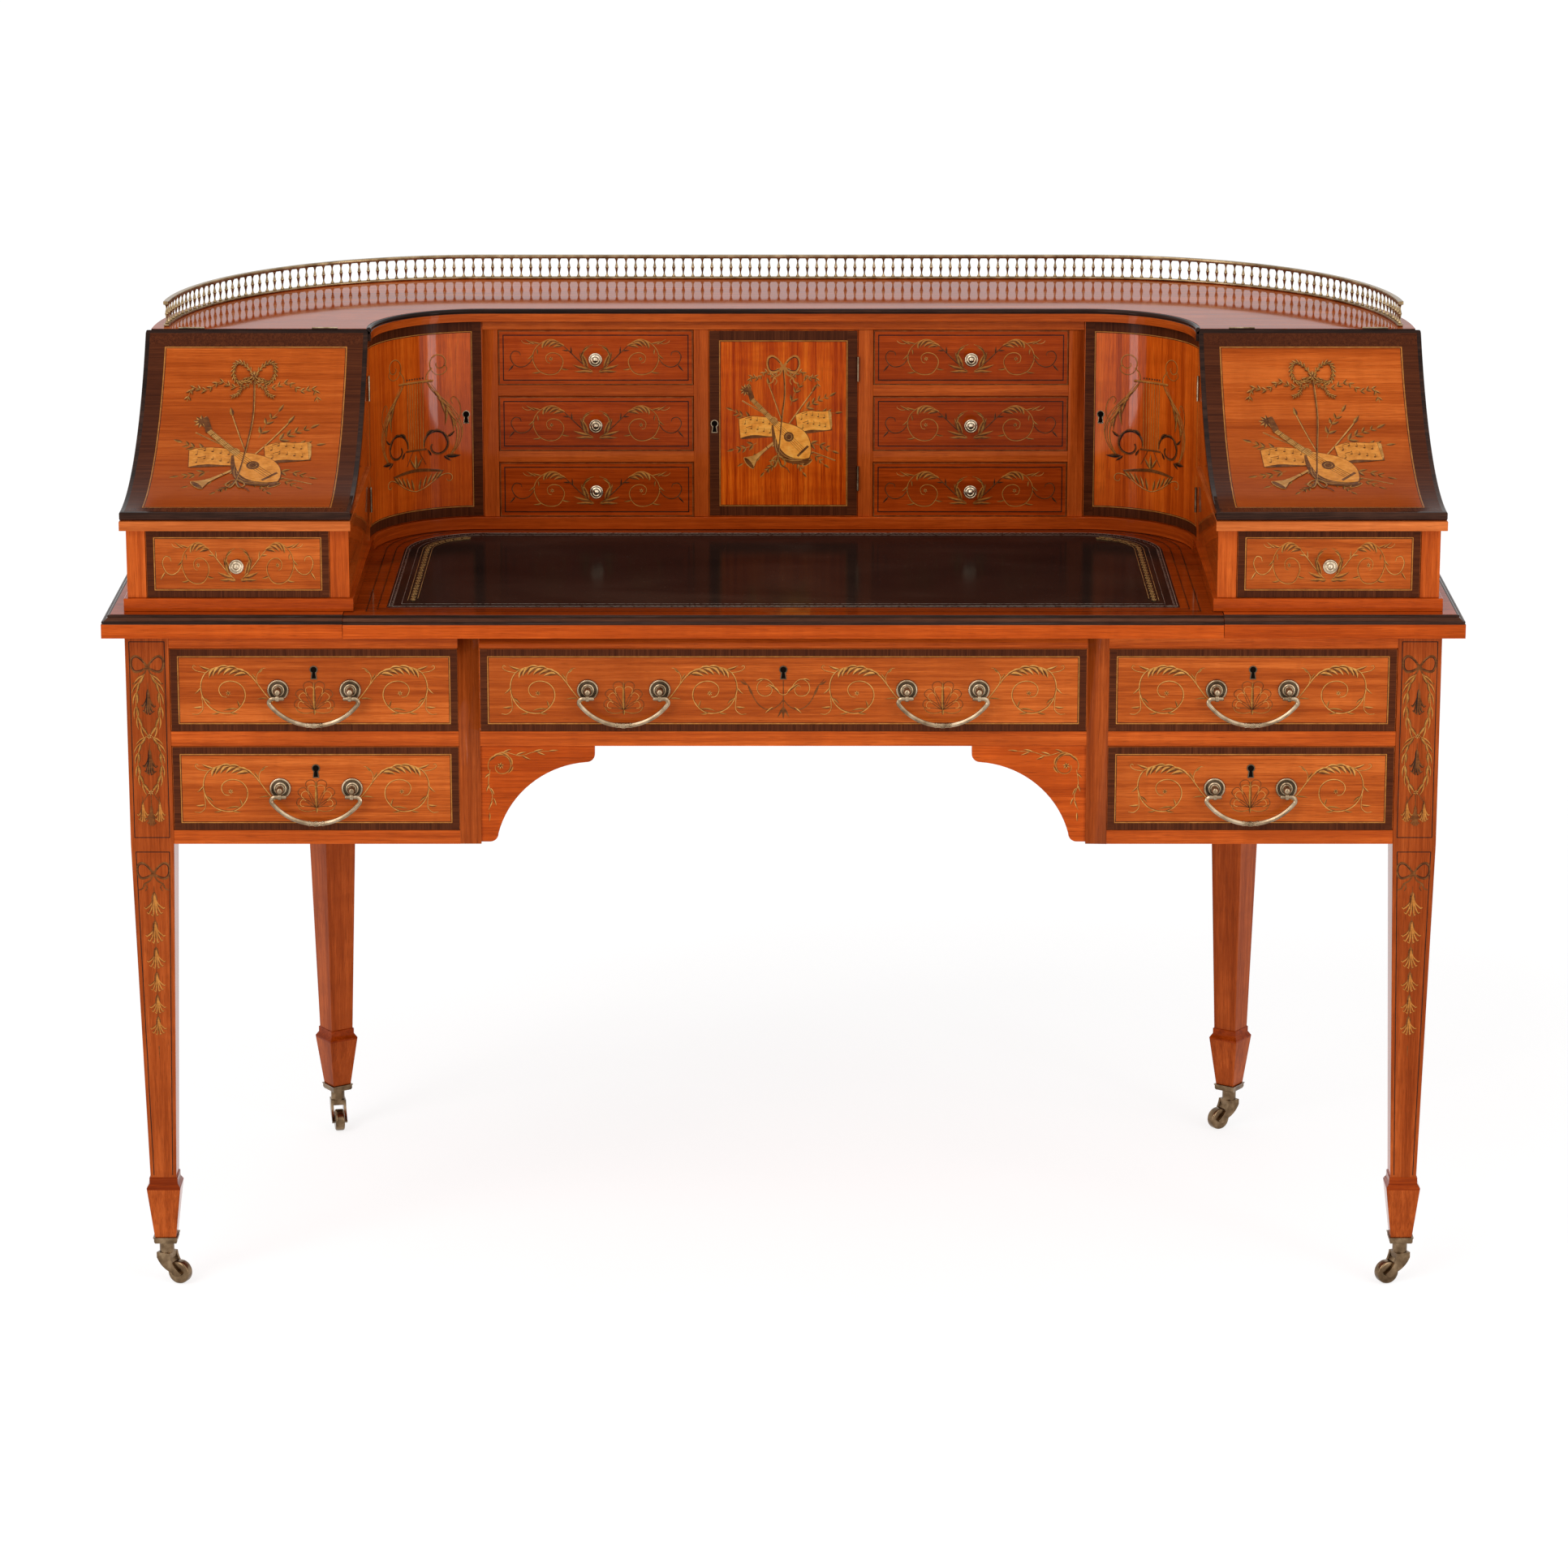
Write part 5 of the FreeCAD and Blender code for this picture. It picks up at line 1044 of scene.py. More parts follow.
def lyre(pen):
    """Lyre with scrolled arms, strings, dark rings on its crossbar and a leafy foot."""
    arm = through(LYRE_ARM)
    inner = through([(17, 41), (24, 31), (34, 16), (39.5, 0), (39, -14)])
    foot = bezier((0, -66), (16, -64), (24, -50), (34, -51)) + spiral((34, -55.5), 4.5, 1.4, 88, -150, 14)[1:]
    for half in pen.halves():
        half.vine(arm, 1.5, "string")
        half.line(inner, 0.7, "olive", taper=(0.3, 0.3))
        for start, swell in LYRE_VINES:
            run = arm[start:]
            sway = [swell * math.sin(math.pi * n / len(run)) for n in range(len(run))]
            half.vine([(x + s, y + 0.3 * s) for (x, y), s in zip(run, sway)], 0.8, "string")
        half.stem([(41, -4), (47, 8), (46, 19), (41, 25), (38, 22), (40, 18)], 0.9, "string")
        half.vine(spiral((26, 59), 9.5, 2.2, 205, -190, 34, 1.6), 1.3, "string")
        half.stem([(17, 55), (22, 49), (29, 48), (34, 52), (33, 56), (30, 55)], 0.8, "olive")
        half.vine(spiral((22.5, -21), 13.5, 4.5, 186, -190, 40, 2.6), 2.4, "shade", "black")
        half.leaves(((12, -12, 70, 11, 3.0, -70), (19, -8, 24, 12, 3.0, -70), (29, -10, -30, 11, 3.0, -66)),
                    "shade", "black")
        half.leaves(((20, 32, -38, 20, 2.8, -34), (29, 21, -40, 20, 3.0, -40), (36, 11, -60, 20, 2.8, -34),
                     (24, 26, -52, 18, 2.4, 22), (33, 15, -66, 18, 2.4, 20)), "string")
        half.leaves(((33, 15, -84, 18, 2.4, -20), (27, 23, -64, 16, 2.2, -16)), "olive")
        half.leaves(((32, -33, -8, 15, 4.0, 12), (30, -33, -38, 9, 2.6, 0), (17, -32, 120, 8, 2.2, 0),
                     (34, -14, 20, 9, 2.4, 30)), "shade", "black")
        half.vine(foot, 1.1)
        for n in range(5):
            half.leaf((3 + 4.6 * n, -65 + 2.4 * n), 78 - 8 * n, 12.5, 2.6, "box" if n % 2 else "olive")
        half.line([(3, -25), (11, -40)], 0.7, "shade")
        half.leaf((1, -43), 58, 12, 2.4, "olive")
    pen.line([(-20, 42.5), (20, 42.5)], 1.8, "string")
    pen.line([(-20, 41.3), (20, 41.3)], 0.6, "shade")
    pen.line([(-12, -25), (12, -25)], 2.0, "shade")
    pen.line(through([(-29, -48), (0, -45), (29, -48)], 8), 3.6, "shade", taper=(0.3, 0.3))
    for n in range(7):
        x = -9 + 3 * n
        pen.line([(x, 43), (x * 0.95, -24)], 0.7, "string")
        pen.dot((x, 45.5), 1.0)
    pen.leaf((0, -44), 90, 15, 3.2)


def bracket_spray(pen):
    """Rosette scroll in the corner of a knee bracket with sprays along its two arms."""
    pen.vine(spiral((21, -22), 13, 4.5, 200, -190, 40, 2.0), 1.2, "string")
    pen.flower((21, -22), 4.0)
    pen.leaves(((9, -17, 62, 12, 3.0, -50), (14, -11, 30, 12, 3.0, -52), (22, -8, -4, 12, 3.0, -54),
                (30, -12, -44, 11, 2.8, -52), (34, -22, -96, 10, 2.6, -50)), "string")
    pen.stem([(12, -13), (24, -7), (42, -11), (56, -7), (72, -6)], 0.8)
    pen.stem([(10, -26), (8, -42), (12, -55), (8, -70)], 0.8)
    pen.leaves(((38, -10, 25, 11, 2.0, -15), (44, -11, -35, 10, 2.0, 20), (56, -7, 24, 11, 2.0, -15),
                (60, -7, -28, 10, 1.8, 15), (72, -6, 6, 11, 1.9, 0), (24, -8, 40, 10, 2.0, -30),
                (9, -42, -120, 9, 1.9, 15), (10, -46, -55, 9, 1.9, -15), (13, -57, -62, 9, 1.8, -15),
                (12, -60, -118, 9, 1.8, 15), (9, -73, -92, 10, 1.8, 0), (10, -30, -150, 8, 1.8, 20)))


# Where the marquetry lies.

BAND, DOOR_BAND, WELL_BAND, BACK_BAND, LID_BAND = 7.6, 11.0, 10.5, 9.0, 17.0
BAND_STRINGS = ((0.45, 0.9, "string"), (1.25, 0.6, "black"))
SMALL_STRINGS = ((5.5, 1.1, "black"), (0.8, 1.0, "shade"))
LID_STRINGS = ((0.5, 1.1, "string"), (1.6, 0.6, "black"))
ARRIS = 0.4
SMALL_MARGIN, BOX_MARGIN = (10, 9), (14, 12)
HANDLE_HALF = 38.0
HANDLE_PAIR = 168.0
HANDLES = {name: (-HANDLE_PAIR, HANDLE_PAIR) if name == "centre" else (0.0,) for name in FRIEZE}


def front_sheet(name, body):
    """Veneers on the front of a body's node, about its middle, and half the front's width and height."""
    low, high = box_mm(body)
    middle, size = (low + high) / 2, high - low

    def face(u, v, lift):
        return (middle.x + u, low.y - lift, middle.z + v)

    return Veneers(f"marquetry_{name}", body, face), size.x / 2, size.z / 2


def string_line(sheet, wide, high, width, tone, cells=1, middle=0.0):
    """Rectangle of stringing about a middle."""
    across = [(-wide + 2 * wide * n / cells, -high) for n in range(cells + 1)]
    back = [(-u, high) for u, _ in across]
    sheet.line([(middle + u, v) for u, v in across + back], width, tone, closed=True)


def banding(sheet, wide, high, band, cells=1, sides="TBLR", middle=0.0):
    """Crossbanding round a panel, its grain square to the edge, with a light and a dark line inside it."""
    left, right, inner = middle - wide, middle + wide, wide - band
    strips = {"T": (left, right, high - band, high), "B": (left, right, -high, band - high),
              "L": (left, middle - inner, -high, high), "R": (middle + inner, right, -high, high)}
    for side in sides:
        level = side in "TB"
        sheet.panel(*strips[side], "king_z" if level else "king_x", cells if level else max(cells // 8, 1))
    for gap, width, tone in BAND_STRINGS:
        string_line(sheet, wide - (band + gap), high - (band + gap), width, tone, cells, middle)


KEY_RISE = 22.0
KEY_RADIUS = 3.4
KEY_SLOT = 1.5
KEY_FLARE = 2.5
KEY_DROP = 9.6
KEY_RIM = 0.9
KEY_INSET = 6.0


def keyhole(rim):
    """Outline of a round keyhole with its flared slot, in (x, z), swollen by the rim."""
    bend = KEY_RADIUS + rim
    start = math.asin((KEY_SLOT + rim) / bend)
    arc = [(bend * math.sin(a), bend * math.cos(a)) for a in
           (-math.pi + start + (math.tau - 2 * start) * n / 20 for n in range(21))]
    return arc + [(KEY_FLARE + rim, -KEY_DROP - rim), (-KEY_FLARE - rim, -KEY_DROP - rim)]


def key_plate(sheet, u, v):
    """Lined keyhole on a door; the hole is a black veneer, painted shade for its dark inside."""
    for rim, tone in ((KEY_RIM, "rim"), (0.0, "hole")):
        sheet.shape([(u + x, v + z) for x, z in keyhole(rim)], tone)


for name in FRIEZE:
    sheet, wide, high = front_sheet(name, f"drawer_{name}")
    banding(sheet, wide - ARRIS, high - ARRIS, BAND)
    for handle in HANDLES[name]:
        for side in (1, -1):
            frieze_scroll(Pen(sheet, handle + side * HANDLE_HALF, flip=side < 0))
        palmette(Pen(sheet, handle, -21))
    if name == "centre":
        key_spray(Pen(sheet))
    sheet.piece()

for name in SMALL:
    sheet, wide, high = front_sheet(f"small_{name}", f"small_drawer_{name}")
    for inset, width, tone in SMALL_STRINGS:
        string_line(sheet, wide - inset, high - inset, width, tone)
    small_spray(sheet, wide - SMALL_MARGIN[0], high - SMALL_MARGIN[1])
    sheet.piece()

for hand in HANDS:
    sheet, wide, high = front_sheet(f"box_{hand}", f"box_drawer_{hand}")
    banding(sheet, wide - ARRIS, high - ARRIS, BAND)
    small_spray(sheet, wide - BOX_MARGIN[0], high - BOX_MARGIN[1], "box", "shade")
    sheet.piece()

sheet, wide, high = front_sheet("door_centre", "door_centre")
banding(sheet, wide - ARRIS, high - ARRIS, DOOR_BAND)
trophy(Pen(sheet, 0, 4), rise=60, swag=36)
key_plate(sheet, KEY_INSET - wide, 0)
sheet.piece()


def well_face(side):
    """Hollow face of a curved door; side is +1 for the right-hand one."""
    low, high = box_mm("door_right")
    level = (low.z + high.z) / 2

    def face(u, v, lift):
        angle = math.radians(45) - side * u / WELL_RADIUS
        reach = WELL_RADIUS - lift
        return (side * (WELL_X + reach * math.cos(angle)), WELL_Y + reach * math.sin(angle), level + v)

    return face, WELL_RADIUS * math.pi / 4 - DOOR_GAP, (high.z - low.z) / 2


for hand, side in SIDES:
    face, wide, high = well_face(side)
    sheet = Veneers(f"marquetry_door_{hand}", f"door_{hand}", face, fine=5.0)
    banding(sheet, wide, high - ARRIS, WELL_BAND, cells=40, sides="TBR" if side < 0 else "TBL")
    lyre(Pen(sheet, -side * 14, -2, (1.16, 1.14)))
    key_plate(sheet, -side * 75, 6)
    sheet.piece()

LID_THICK, LID_RIM = 8.7, 5.0


def lid_face(hand):
    """Hollow face of a cove lid: v runs along the curve, up from its middle."""
    low, high = box_mm(f"lid_{hand}")
    run, rise = high.y - low.y, high.z - low.z - LID_THICK
    radius = (run ** 2 + rise ** 2) / (2 * rise)
    eye = low.z + LID_THICK + radius
    length = radius * math.asin(run / radius)
    middle = (low.x + high.x) / 2

    def face(u, v, lift):
        angle, reach = (v + length / 2) / radius, radius - lift
        return (middle + u, low.y + reach * math.sin(angle), eye - reach * math.cos(angle))

    return face, (high.x - low.x) / 2, length / 2


class LidVeneers(Veneers):
    """Veneers on a lid, cut along the curve."""

    def panel(self, left, right, low, high, tone):
        steps = max(int((high - low) / self.fine), 1)
        flat = [(u, low + (high - low) * n / steps) for n in range(steps + 1) for u in (left, right)]
        self.add(flat, [[2 * n, 2 * n + 1, 2 * n + 3, 2 * n + 2] for n in range(steps)], tone)

    def string(self, wide, high, width, tone):
        steps = 40
        edge = [(wide, high * (2 * n / steps - 1)) for n in range(steps + 1)]
        self.line(both(edge), width, tone, closed=True)


for hand in HANDS:
    face, wide, high = lid_face(hand)
    sheet = LidVeneers(f"marquetry_lid_{hand}", f"lid_{hand}", face, fine=9.0)
    edge_wide, edge_high = wide - LID_RIM, high - LID_RIM
    inner_wide, inner_high = edge_wide - LID_BAND, edge_high - LID_BAND
    sheet.panel(-inner_wide, inner_wide, -inner_high, inner_high, "field_x")
    sheet.panel(-edge_wide, edge_wide, inner_high, edge_high, "king_y")
    sheet.panel(-edge_wide, edge_wide, -edge_high, -inner_high, "king_y")
    sheet.panel(-edge_wide, -inner_wide, -edge_high, edge_high, "king_x")
    sheet.panel(inner_wide, edge_wide, -edge_high, edge_high, "king_x")
    for inset, width, tone in LID_STRINGS:
        sheet.string(inner_wide - inset, inner_high - inset, width, tone)
    trophy(Pen(sheet, 0, -8, (1.26, 1.46)), rise=78, swag=52, pale="page", leafy=True)
    sheet.piece()


# Knee brackets, stiles and legs.

bracket_low, bracket_high = box_mm("knee_brackets")
for hand, side in SIDES:
    sheet = Veneers(f"marquetry_bracket_{hand}", "carcass", lambda u, v, lift: (u, bracket_low.y - lift, v))
    bracket_spray(Pen(sheet, side * bracket_high.x, bracket_high.z, flip=side > 0))
    sheet.piece()

LEG_SIDE = 46.0
NECK_SIDE = 28.0
STRING_INSET = 5.0
STRING_TOP = 489.0
LEG_BOW = 465.0
HUSKS = ((431, 24), (400, 23), (371, 21.5), (344, 20), (319, 19), (295, 19))
HUSK_TAIL = (272, 258)
STILE_INSET, STILE_FOOT, STILE_HEAD = 4.5, 7.0, 8.0


def leg_half(level):
    """Half of a leg's side at a level."""
    share = (level - COLLAR[1]) / (frame_low.z - COLLAR[1])
    return (NECK_SIDE + (LEG_SIDE - NECK_SIDE) * min(share, 1.0)) / 2


def leg_faces(side):
    """Front and outer face of a front leg: v is the height."""
    leg_x, leg_y = side * (leg_high.x - LEG_SIDE / 2), leg_low.y + LEG_SIDE / 2

    def front(u, v, lift):
        return (leg_x + u, leg_y - leg_half(v) - lift, v)

    def outer(u, v, lift):
        return (leg_x + side * (leg_half(v) + lift), leg_y + side * u, v)

    return ("front", front), ("side", outer)


for hand, side in SIDES:
    for view, face in leg_faces(side):
        sheet = Veneers(f"marquetry_leg_{hand}_{view}", "carcass", face)
        foot = COLLAR[1] + 2
        top_half, foot_half = leg_half(STRING_TOP) - STRING_INSET, leg_half(foot) - STRING_INSET + 1.0
        sheet.line(both([(-foot_half, foot), (-top_half, STRING_TOP)]), 0.9, "black")
        bow(Pen(sheet, 0, LEG_BOW), BOW_SIZE)
        for level, size in HUSKS:
            husk(Pen(sheet, 0, level + size * 0.5), size)
        sheet.line([(0, level) for level in HUSK_TAIL], 1.0, "shade", taper=(1.0, 0.2))
        low, high = frame_low.z + STILE_FOOT, frame_high.z - STILE_HEAD
        wide = LEG_SIDE / 2 - STILE_INSET
        sheet.line([(-wide, low), (wide, low), (wide, high), (-wide, high)], 0.9, "black", closed=True)
        stile_chain(Pen(sheet, 0, (low + high) / 2), high - low)
        sheet.piece()


# Panels of stringing and crossbanding round the outside.

def round_face(half, bend, back, level):
    """Outside of a D: u runs from the middle of the back along its outline, v up from a level."""
    flat, turn = half - bend, bend * math.pi / 2

    def face(u, v, lift):
        side, along = math.copysign(1, -u), abs(u)
        if along < flat:
            return (side * along, back + lift, level + v)
        if along < flat + turn:
            angle = math.pi / 2 - (along - flat) / bend
            reach = bend + lift
            return (side * (flat + reach * math.cos(angle)), back - bend + reach * math.sin(angle), level + v)
        return (side * (half + lift), back - bend - (along - flat - turn), level + v)

    return face


def outside_panel(sheet, left, right, high):
    """Crossbanded panel between two places of the outline."""
    wide = (right - left) / 2
    banding(sheet, wide, high, BACK_BAND, max(int(wide / 5), 1), middle=(left + right) / 2)


MARGIN = 20.0
FLAT_BACK = 344.0
# Radius of the bend, end of the back panel, and start and end of the side panels, along the outline.
OUTSIDES = {"frieze": (348.0, 505.0, 596.0, 1142.0), "upper": (344.0, 300.0, 330.0, 858.0)}
for name, (bend, middle, start, end) in OUTSIDES.items():
    low, high = box_mm(f"{name}_panels")
    face = round_face(FLAT_BACK + bend, bend, high.y, (low.z + high.z) / 2)
    sheet = Veneers(f"stringing_{name}", "carcass", face, fine=8.0, lift=0.35)
    half = (high.z - low.z) / 2 - MARGIN
    for left, right in ((-middle, middle), (start, end), (-end, -start)):
        outside_panel(sheet, left, right, half)
    sheet.piece()


# Gilt tooling on the leather.

hide_low, hide_high = box_mm("writing_leather")
HIDE_CORNER = 90.0
GILT_END = 72.0
SCALLOP = 6.0
SCALLOP_INSET, CURL_INSET, CURL_STEP = 4.0, 25.5, 6.5
SILVER_LINES = ((2.6, 0.9), (15.0, 0.5))
BLACK_LINES = (-9.0, -20.0)
GOLD_LINES = (20.5, 30.5)


def hide_outline(inset, step):
    """Closed outline of the leather, inset all round, in even steps, with its inward normals."""
    wide, near, far = hide_high.x - inset, hide_low.y + inset, hide_high.y - inset
    bend = HIDE_CORNER - inset
    turns = [(-wide, near), (wide, near)]
    for middle, start in ((wide - bend, 0), (-wide + bend, 90)):
        turns += bend_points((middle, far - bend), bend, start, start + 90, 18)
    walk = []
    for a, b in zip(turns, turns[1:] + turns[:1]):
        length = math.dist(a, b)
        way = ((b[0] - a[0]) / length, (b[1] - a[1]) / length) if length else (1, 0)
        walk += [(spot, (-way[1], way[0])) for spot in between(a, b, max(round(length / step), 1))]
    return walk


def hide_line(sheet, inset, width, tone):
    """Line all round at an inset from the leather's edge; a negative one lies outside it."""
    sheet.line([spot for spot, _ in hide_outline(inset, 12.0)], width, tone, closed=True)


def gold_runs(inset, step):
    """The parts of an inset outline along the two ends of the leather and round their corners."""
    walk = hide_outline(inset, step)
    for side in (1, -1):
        yield [(spot, inward) for spot, inward in walk
               if side * spot[0] > hide_high.x - GILT_END and spot[1] > hide_low.y + inset + 2]


sheet = Veneers("gilt_tooling", "writing_slide", lambda u, v, lift: (u, v, hide_high.z + lift), lift=0.05)
scallop = [(SCALLOP / 2 * x, 2.2 * y) for x, y in bend_points((0, 0), 1, 0, 180, 6)]
for (u, v), (in_u, in_v) in hide_outline(SCALLOP_INSET, SCALLOP):
    sheet.line([(u - in_v * x + in_u * y, v + in_u * x + in_v * y) for x, y in scallop], 0.7, "silver")
for inset, width in SILVER_LINES:
    hide_line(sheet, inset, width, "silver")
for inset in BLACK_LINES:
    hide_line(sheet, inset, 0.9, "black")
for inset in GOLD_LINES:
    for run in gold_runs(inset, 10.0):
        sheet.line([spot for spot, _ in run], 0.6, "gold")
curl = [(0.35 * a * math.cos(a), 0.35 * a * math.sin(a)) for a in (0.9 * k for k in range(2, 11))]
for run in gold_runs(CURL_INSET, CURL_STEP):
    for n, ((u, v), (in_u, in_v)) in enumerate(run):
        if n % 2 == 0:
            in_u, in_v = -in_u, -in_v
        sheet.line([(u + in_u * x - in_v * y, v + in_v * x + in_u * y) for x, y in curl], 0.9, "gold")
sheet.piece()


# Ebonised beads on the bevelled edges.

DESK_BEADS = ((1.8, 7.4), (7.4, 1.8))
DESK_BEAD = 1.7
DESK_BEND = 370.0
DESK_ARRIS = 2.0
SLIDE_GAP = 0.3
NOSE_BEND = 114.0
NOSE_BEAD = 3.0


def bead(solid, line, level, radius):
    """Round bead along a level line."""
    solid.tube([Vector((x, y, level)) for x, y in line], radius, 12)


desk_low, desk_high = box_mm("desk_top")
slide_low, slide_high = box_mm("writing_slide")
solid, front = Solid(), Solid()
for inset, drop in DESK_BEADS:
    right, near = desk_high.x - inset, desk_low.y + inset
    corner = (right - DESK_ARRIS, near + DESK_ARRIS)
    middle = (desk_high.x - DESK_BEND, desk_high.y - DESK_BEND)
    half = [(slide_high.x + SLIDE_GAP, near), (corner[0], near)] + bend_points(corner, DESK_ARRIS, -90, 0, 6)
    half += bend_points(middle, DESK_BEND - inset, 0, 90, 30)
    bead(solid, both(half), desk_high.z - drop, DESK_BEAD)
    run = [(x, slide_low.y + inset) for x in (slide_low.x, 0.0, slide_high.x)]
    bead(front, run, slide_high.z - drop, DESK_BEAD)
solid.piece("ebony_desk_beads", [ebony], "carcass", "satinwood")
front.piece("ebony_slide_beads", [ebony], "writing_slide", "satinwood")

board_low, board_high = box_mm("upper_top")
half = [(BOARD_EDGE + NOSE_BEAD, board_low.y)]
half += bend_points((WELL_X, WELL_Y), NOSE_BEND + NOSE_BEAD, 0, 90, 30)
solid = Solid()
bead(solid, both(half), board_high.z - NOSE_BEAD, NOSE_BEAD)
solid.piece("ebony_board_bead", [ebony], "carcass", "satinwood")


# Brass.

OUT, RIGHT, UP = Vector((0, -1, 0)), Vector((1, 0, 0)), Vector((0, 0, 1))
ROSETTE = ((11.5, 0), (11.5, 0.9), (11.1, 1.7), (10.3, 2.2), (9.4, 2.1), (8.9, 1.5), (8.5, 0.8), (7.7, 0.8),
           (7.3, 1.5), (6.8, 2.3), (6.0, 2.9), (5.2, 3.0), (4.8, 2.5), (4.4, 2.4), (3.6, 3.2), (2.7, 4.6),
           (2.3, 6.2), (2.5, 7.6), (3.3, 8.8), (3.7, 10.2), (3.5, 11.8), (2.7, 13.0), (1.4, 13.6),
           (0.3, 13.75))
ROSETTE_HOLLOWS = (5, 6, 7, 12)
ROSETTE_RADIUS = 11.5
EYE = ((2.2, -1.9), (3.3, -1.9), (3.6, -1.4), (3.6, 1.4), (3.3, 1.9), (2.2, 1.9))
KNOB = ((5.0, 0), (5.0, 0.9), (4.2, 1.5), (3.0, 2.4), (2.4, 4.2), (2.2, 6.8), (2.5, 9.2), (3.9, 11.2),
        (6.2, 12.6), (7.6, 13.9), (8.0, 15.2), (7.8, 16.3), (7.2, 17.0), (6.5, 17.2), (6.1, 16.8),
        (5.6, 16.7), (5.1, 17.4), (4.4, 17.9), (3.7, 17.9), (3.3, 17.4), (2.8, 17.4), (2.4, 18.1),
        (1.5, 18.7), (0.4, 18.95))
KNOB_HOLLOWS = (13, 14, 18, 19)
PIVOT_DROP = 7.0
PIVOT_OUT = 10.0
LOCK_WIDE, LOCK_DEEP, LOCK_TALL = 36.0, 8.0, 30.0


def milled(radius, angle):
    """Fine ripple round the rim of a rosette."""
    return 0.22 * math.cos(36 * angle) if radius > 11 else 0.0


def fittings(name):
    """Rosettes with ball posts and eyes, the lined keyhole and the lock case of one drawer."""
    low, high = box_mm(f"drawer_{name}")
    plate_low, plate_high = box_mm(f"fittings_{name}")
    middle, level = (low.x + high.x) / 2, plate_low.z + ROSETTE_RADIUS
    solid = Solid()
    for handle in HANDLES[name]:
        for side in (-1, 1):
            base = Vector((middle + handle + side * HANDLE_HALF, low.y, level))
            post = base + OUT * PIVOT_OUT
            solid.lathe(ROSETTE, base, OUT, 72, milled, ROSETTE_HOLLOWS)
            solid.lathe(EYE, post - UP * PIVOT_DROP, RIGHT, 24, closed=True)
            solid.tube([post - UP * drop for drop in (2.0, 3.0, 4.0)], 1.7, 12)
    key = Vector((middle, low.y, level + KEY_RISE))
    # The black slab in the keyhole is painted shade for the dark inside of the hole.
    for rim, proud, index in ((KEY_RIM, 0.8, 1), (0.0, 0.86, 2)):
        solid.slab([key + Vector((x, 0, z)) for x, z in keyhole(rim)], OUT * proud, index)
    case = [(x * LOCK_WIDE / 2, z * LOCK_TALL / 2) for x, z in ((-1, -1), (-1, 1), (1, 1), (1, -1))]
    solid.slab([Vector((middle + x, plate_high.y, key.z + z)) for x, z in case], OUT * LOCK_DEEP)
    metals = [handle_brass, hollow_brass, keyhole_painted_shade]
    piece = solid.piece(f"brass_{name}", metals, f"drawer_{name}", "brass")
    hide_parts(f"fittings_{name}")
    soften(piece, 0.25, 50)


BAIL_TIP, BAIL_SIDE, BAIL_BEND, BAIL_TURN = 31.0, 43.0, 4.0, math.radians(128.0)
BAIL_RADIUS, BAIL_EYE = 58.57, 29.6
BAIL_END = 2.0
BINDING, BINDING_REACH, BINDING_RADIUS = 8.5, 2.45, 0.55
CLASP_REACH, CLASP_RADIUS = 2.4, 0.6


def bail_line():
    """Centre line of a bail, (x, z) from the middle of its pivots."""
    half = [(BAIL_TIP + n, 0.0) for n in range(int(BAIL_SIDE - BAIL_TIP))]
    half += [(BAIL_SIDE + BAIL_BEND * math.sin(a), -BAIL_BEND + BAIL_BEND * math.cos(a))
             for a in (BAIL_TURN * n / 10 for n in range(10))]
    end = math.asin((BAIL_SIDE + BAIL_BEND * math.sin(BAIL_TURN)) / BAIL_RADIUS)
    half += [(BAIL_RADIUS * math.sin(a), BAIL_EYE - BAIL_RADIUS * math.cos(a))
             for a in (end * (1 - n / 24) for n in range(24))]
    return half + [(0.0, BAIL_EYE - BAIL_RADIUS)] + [(-x, z) for x, z in half[::-1]]


def fluted(share, angle):
    """Radius of a bail: thicker at its middle, with five soft flutes."""
    return (2.3 - 0.6 * abs(2 * share - 1) ** 3) * (1 + 0.09 * math.cos(5 * angle))


def bail(name):
    """Bail with a crossed ribbon binding at its middle."""
    low, high = box_mm(name)
    pivot = Vector(((low.x + high.x) / 2, (low.y + high.y) / 2, high.z - BAIL_END))
    solid = Solid()
    solid.tube([pivot + Vector((x, 0, z)) for x, z in bail_line()], fluted, 30)

    def along(x, angle, reach):
        turn = x / BAIL_RADIUS
        spoke = Vector((math.sin(turn), 0, -math.cos(turn)))
        middle = pivot + UP * BAIL_EYE + spoke * BAIL_RADIUS
        return middle + spoke * reach * math.cos(angle) - OUT * reach * math.sin(angle)

    for hand in (1, -1):
        for phase in (0.0, math.pi):
            turns = [(n / 40, phase + hand * math.tau * n / 40) for n in range(41)]
            winding = [along(BINDING * (2 * t - 1), angle, BINDING_REACH) for t, angle in turns]
            solid.tube(winding, BINDING_RADIUS, 8)
    for end in (-BINDING, BINDING):
        solid.tube([along(end, math.tau * n / 20, CLASP_REACH) for n in range(21)], CLASP_RADIUS, 8)
    piece = solid.piece(f"brass_{name}", [handle_brass], name, "brass")
    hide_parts(name)


def knob(name, body):
    """Turned knob of a small drawer."""
    low, high = box_mm(name)
    base = Vector(((low.x + high.x) / 2, high.y, (low.z + high.z) / 2))
    solid = Solid()
    solid.lathe(KNOB, base, OUT, 40, hollow=KNOB_HOLLOWS)
    piece = solid.piece(f"brass_{name}", [knob_brass, handle_brass], body, "brass")
    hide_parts(name)


for name in FRIEZE:
    fittings(name)
for name in (*FRIEZE[:4], "centre1", "centre2"):
    bail(f"bail_{name}")
for name in SMALL:
    knob(f"knob_{name}", f"small_drawer_{name}")
for hand in HANDS:
    knob(f"knob_{hand}_box", f"box_drawer_{hand}")


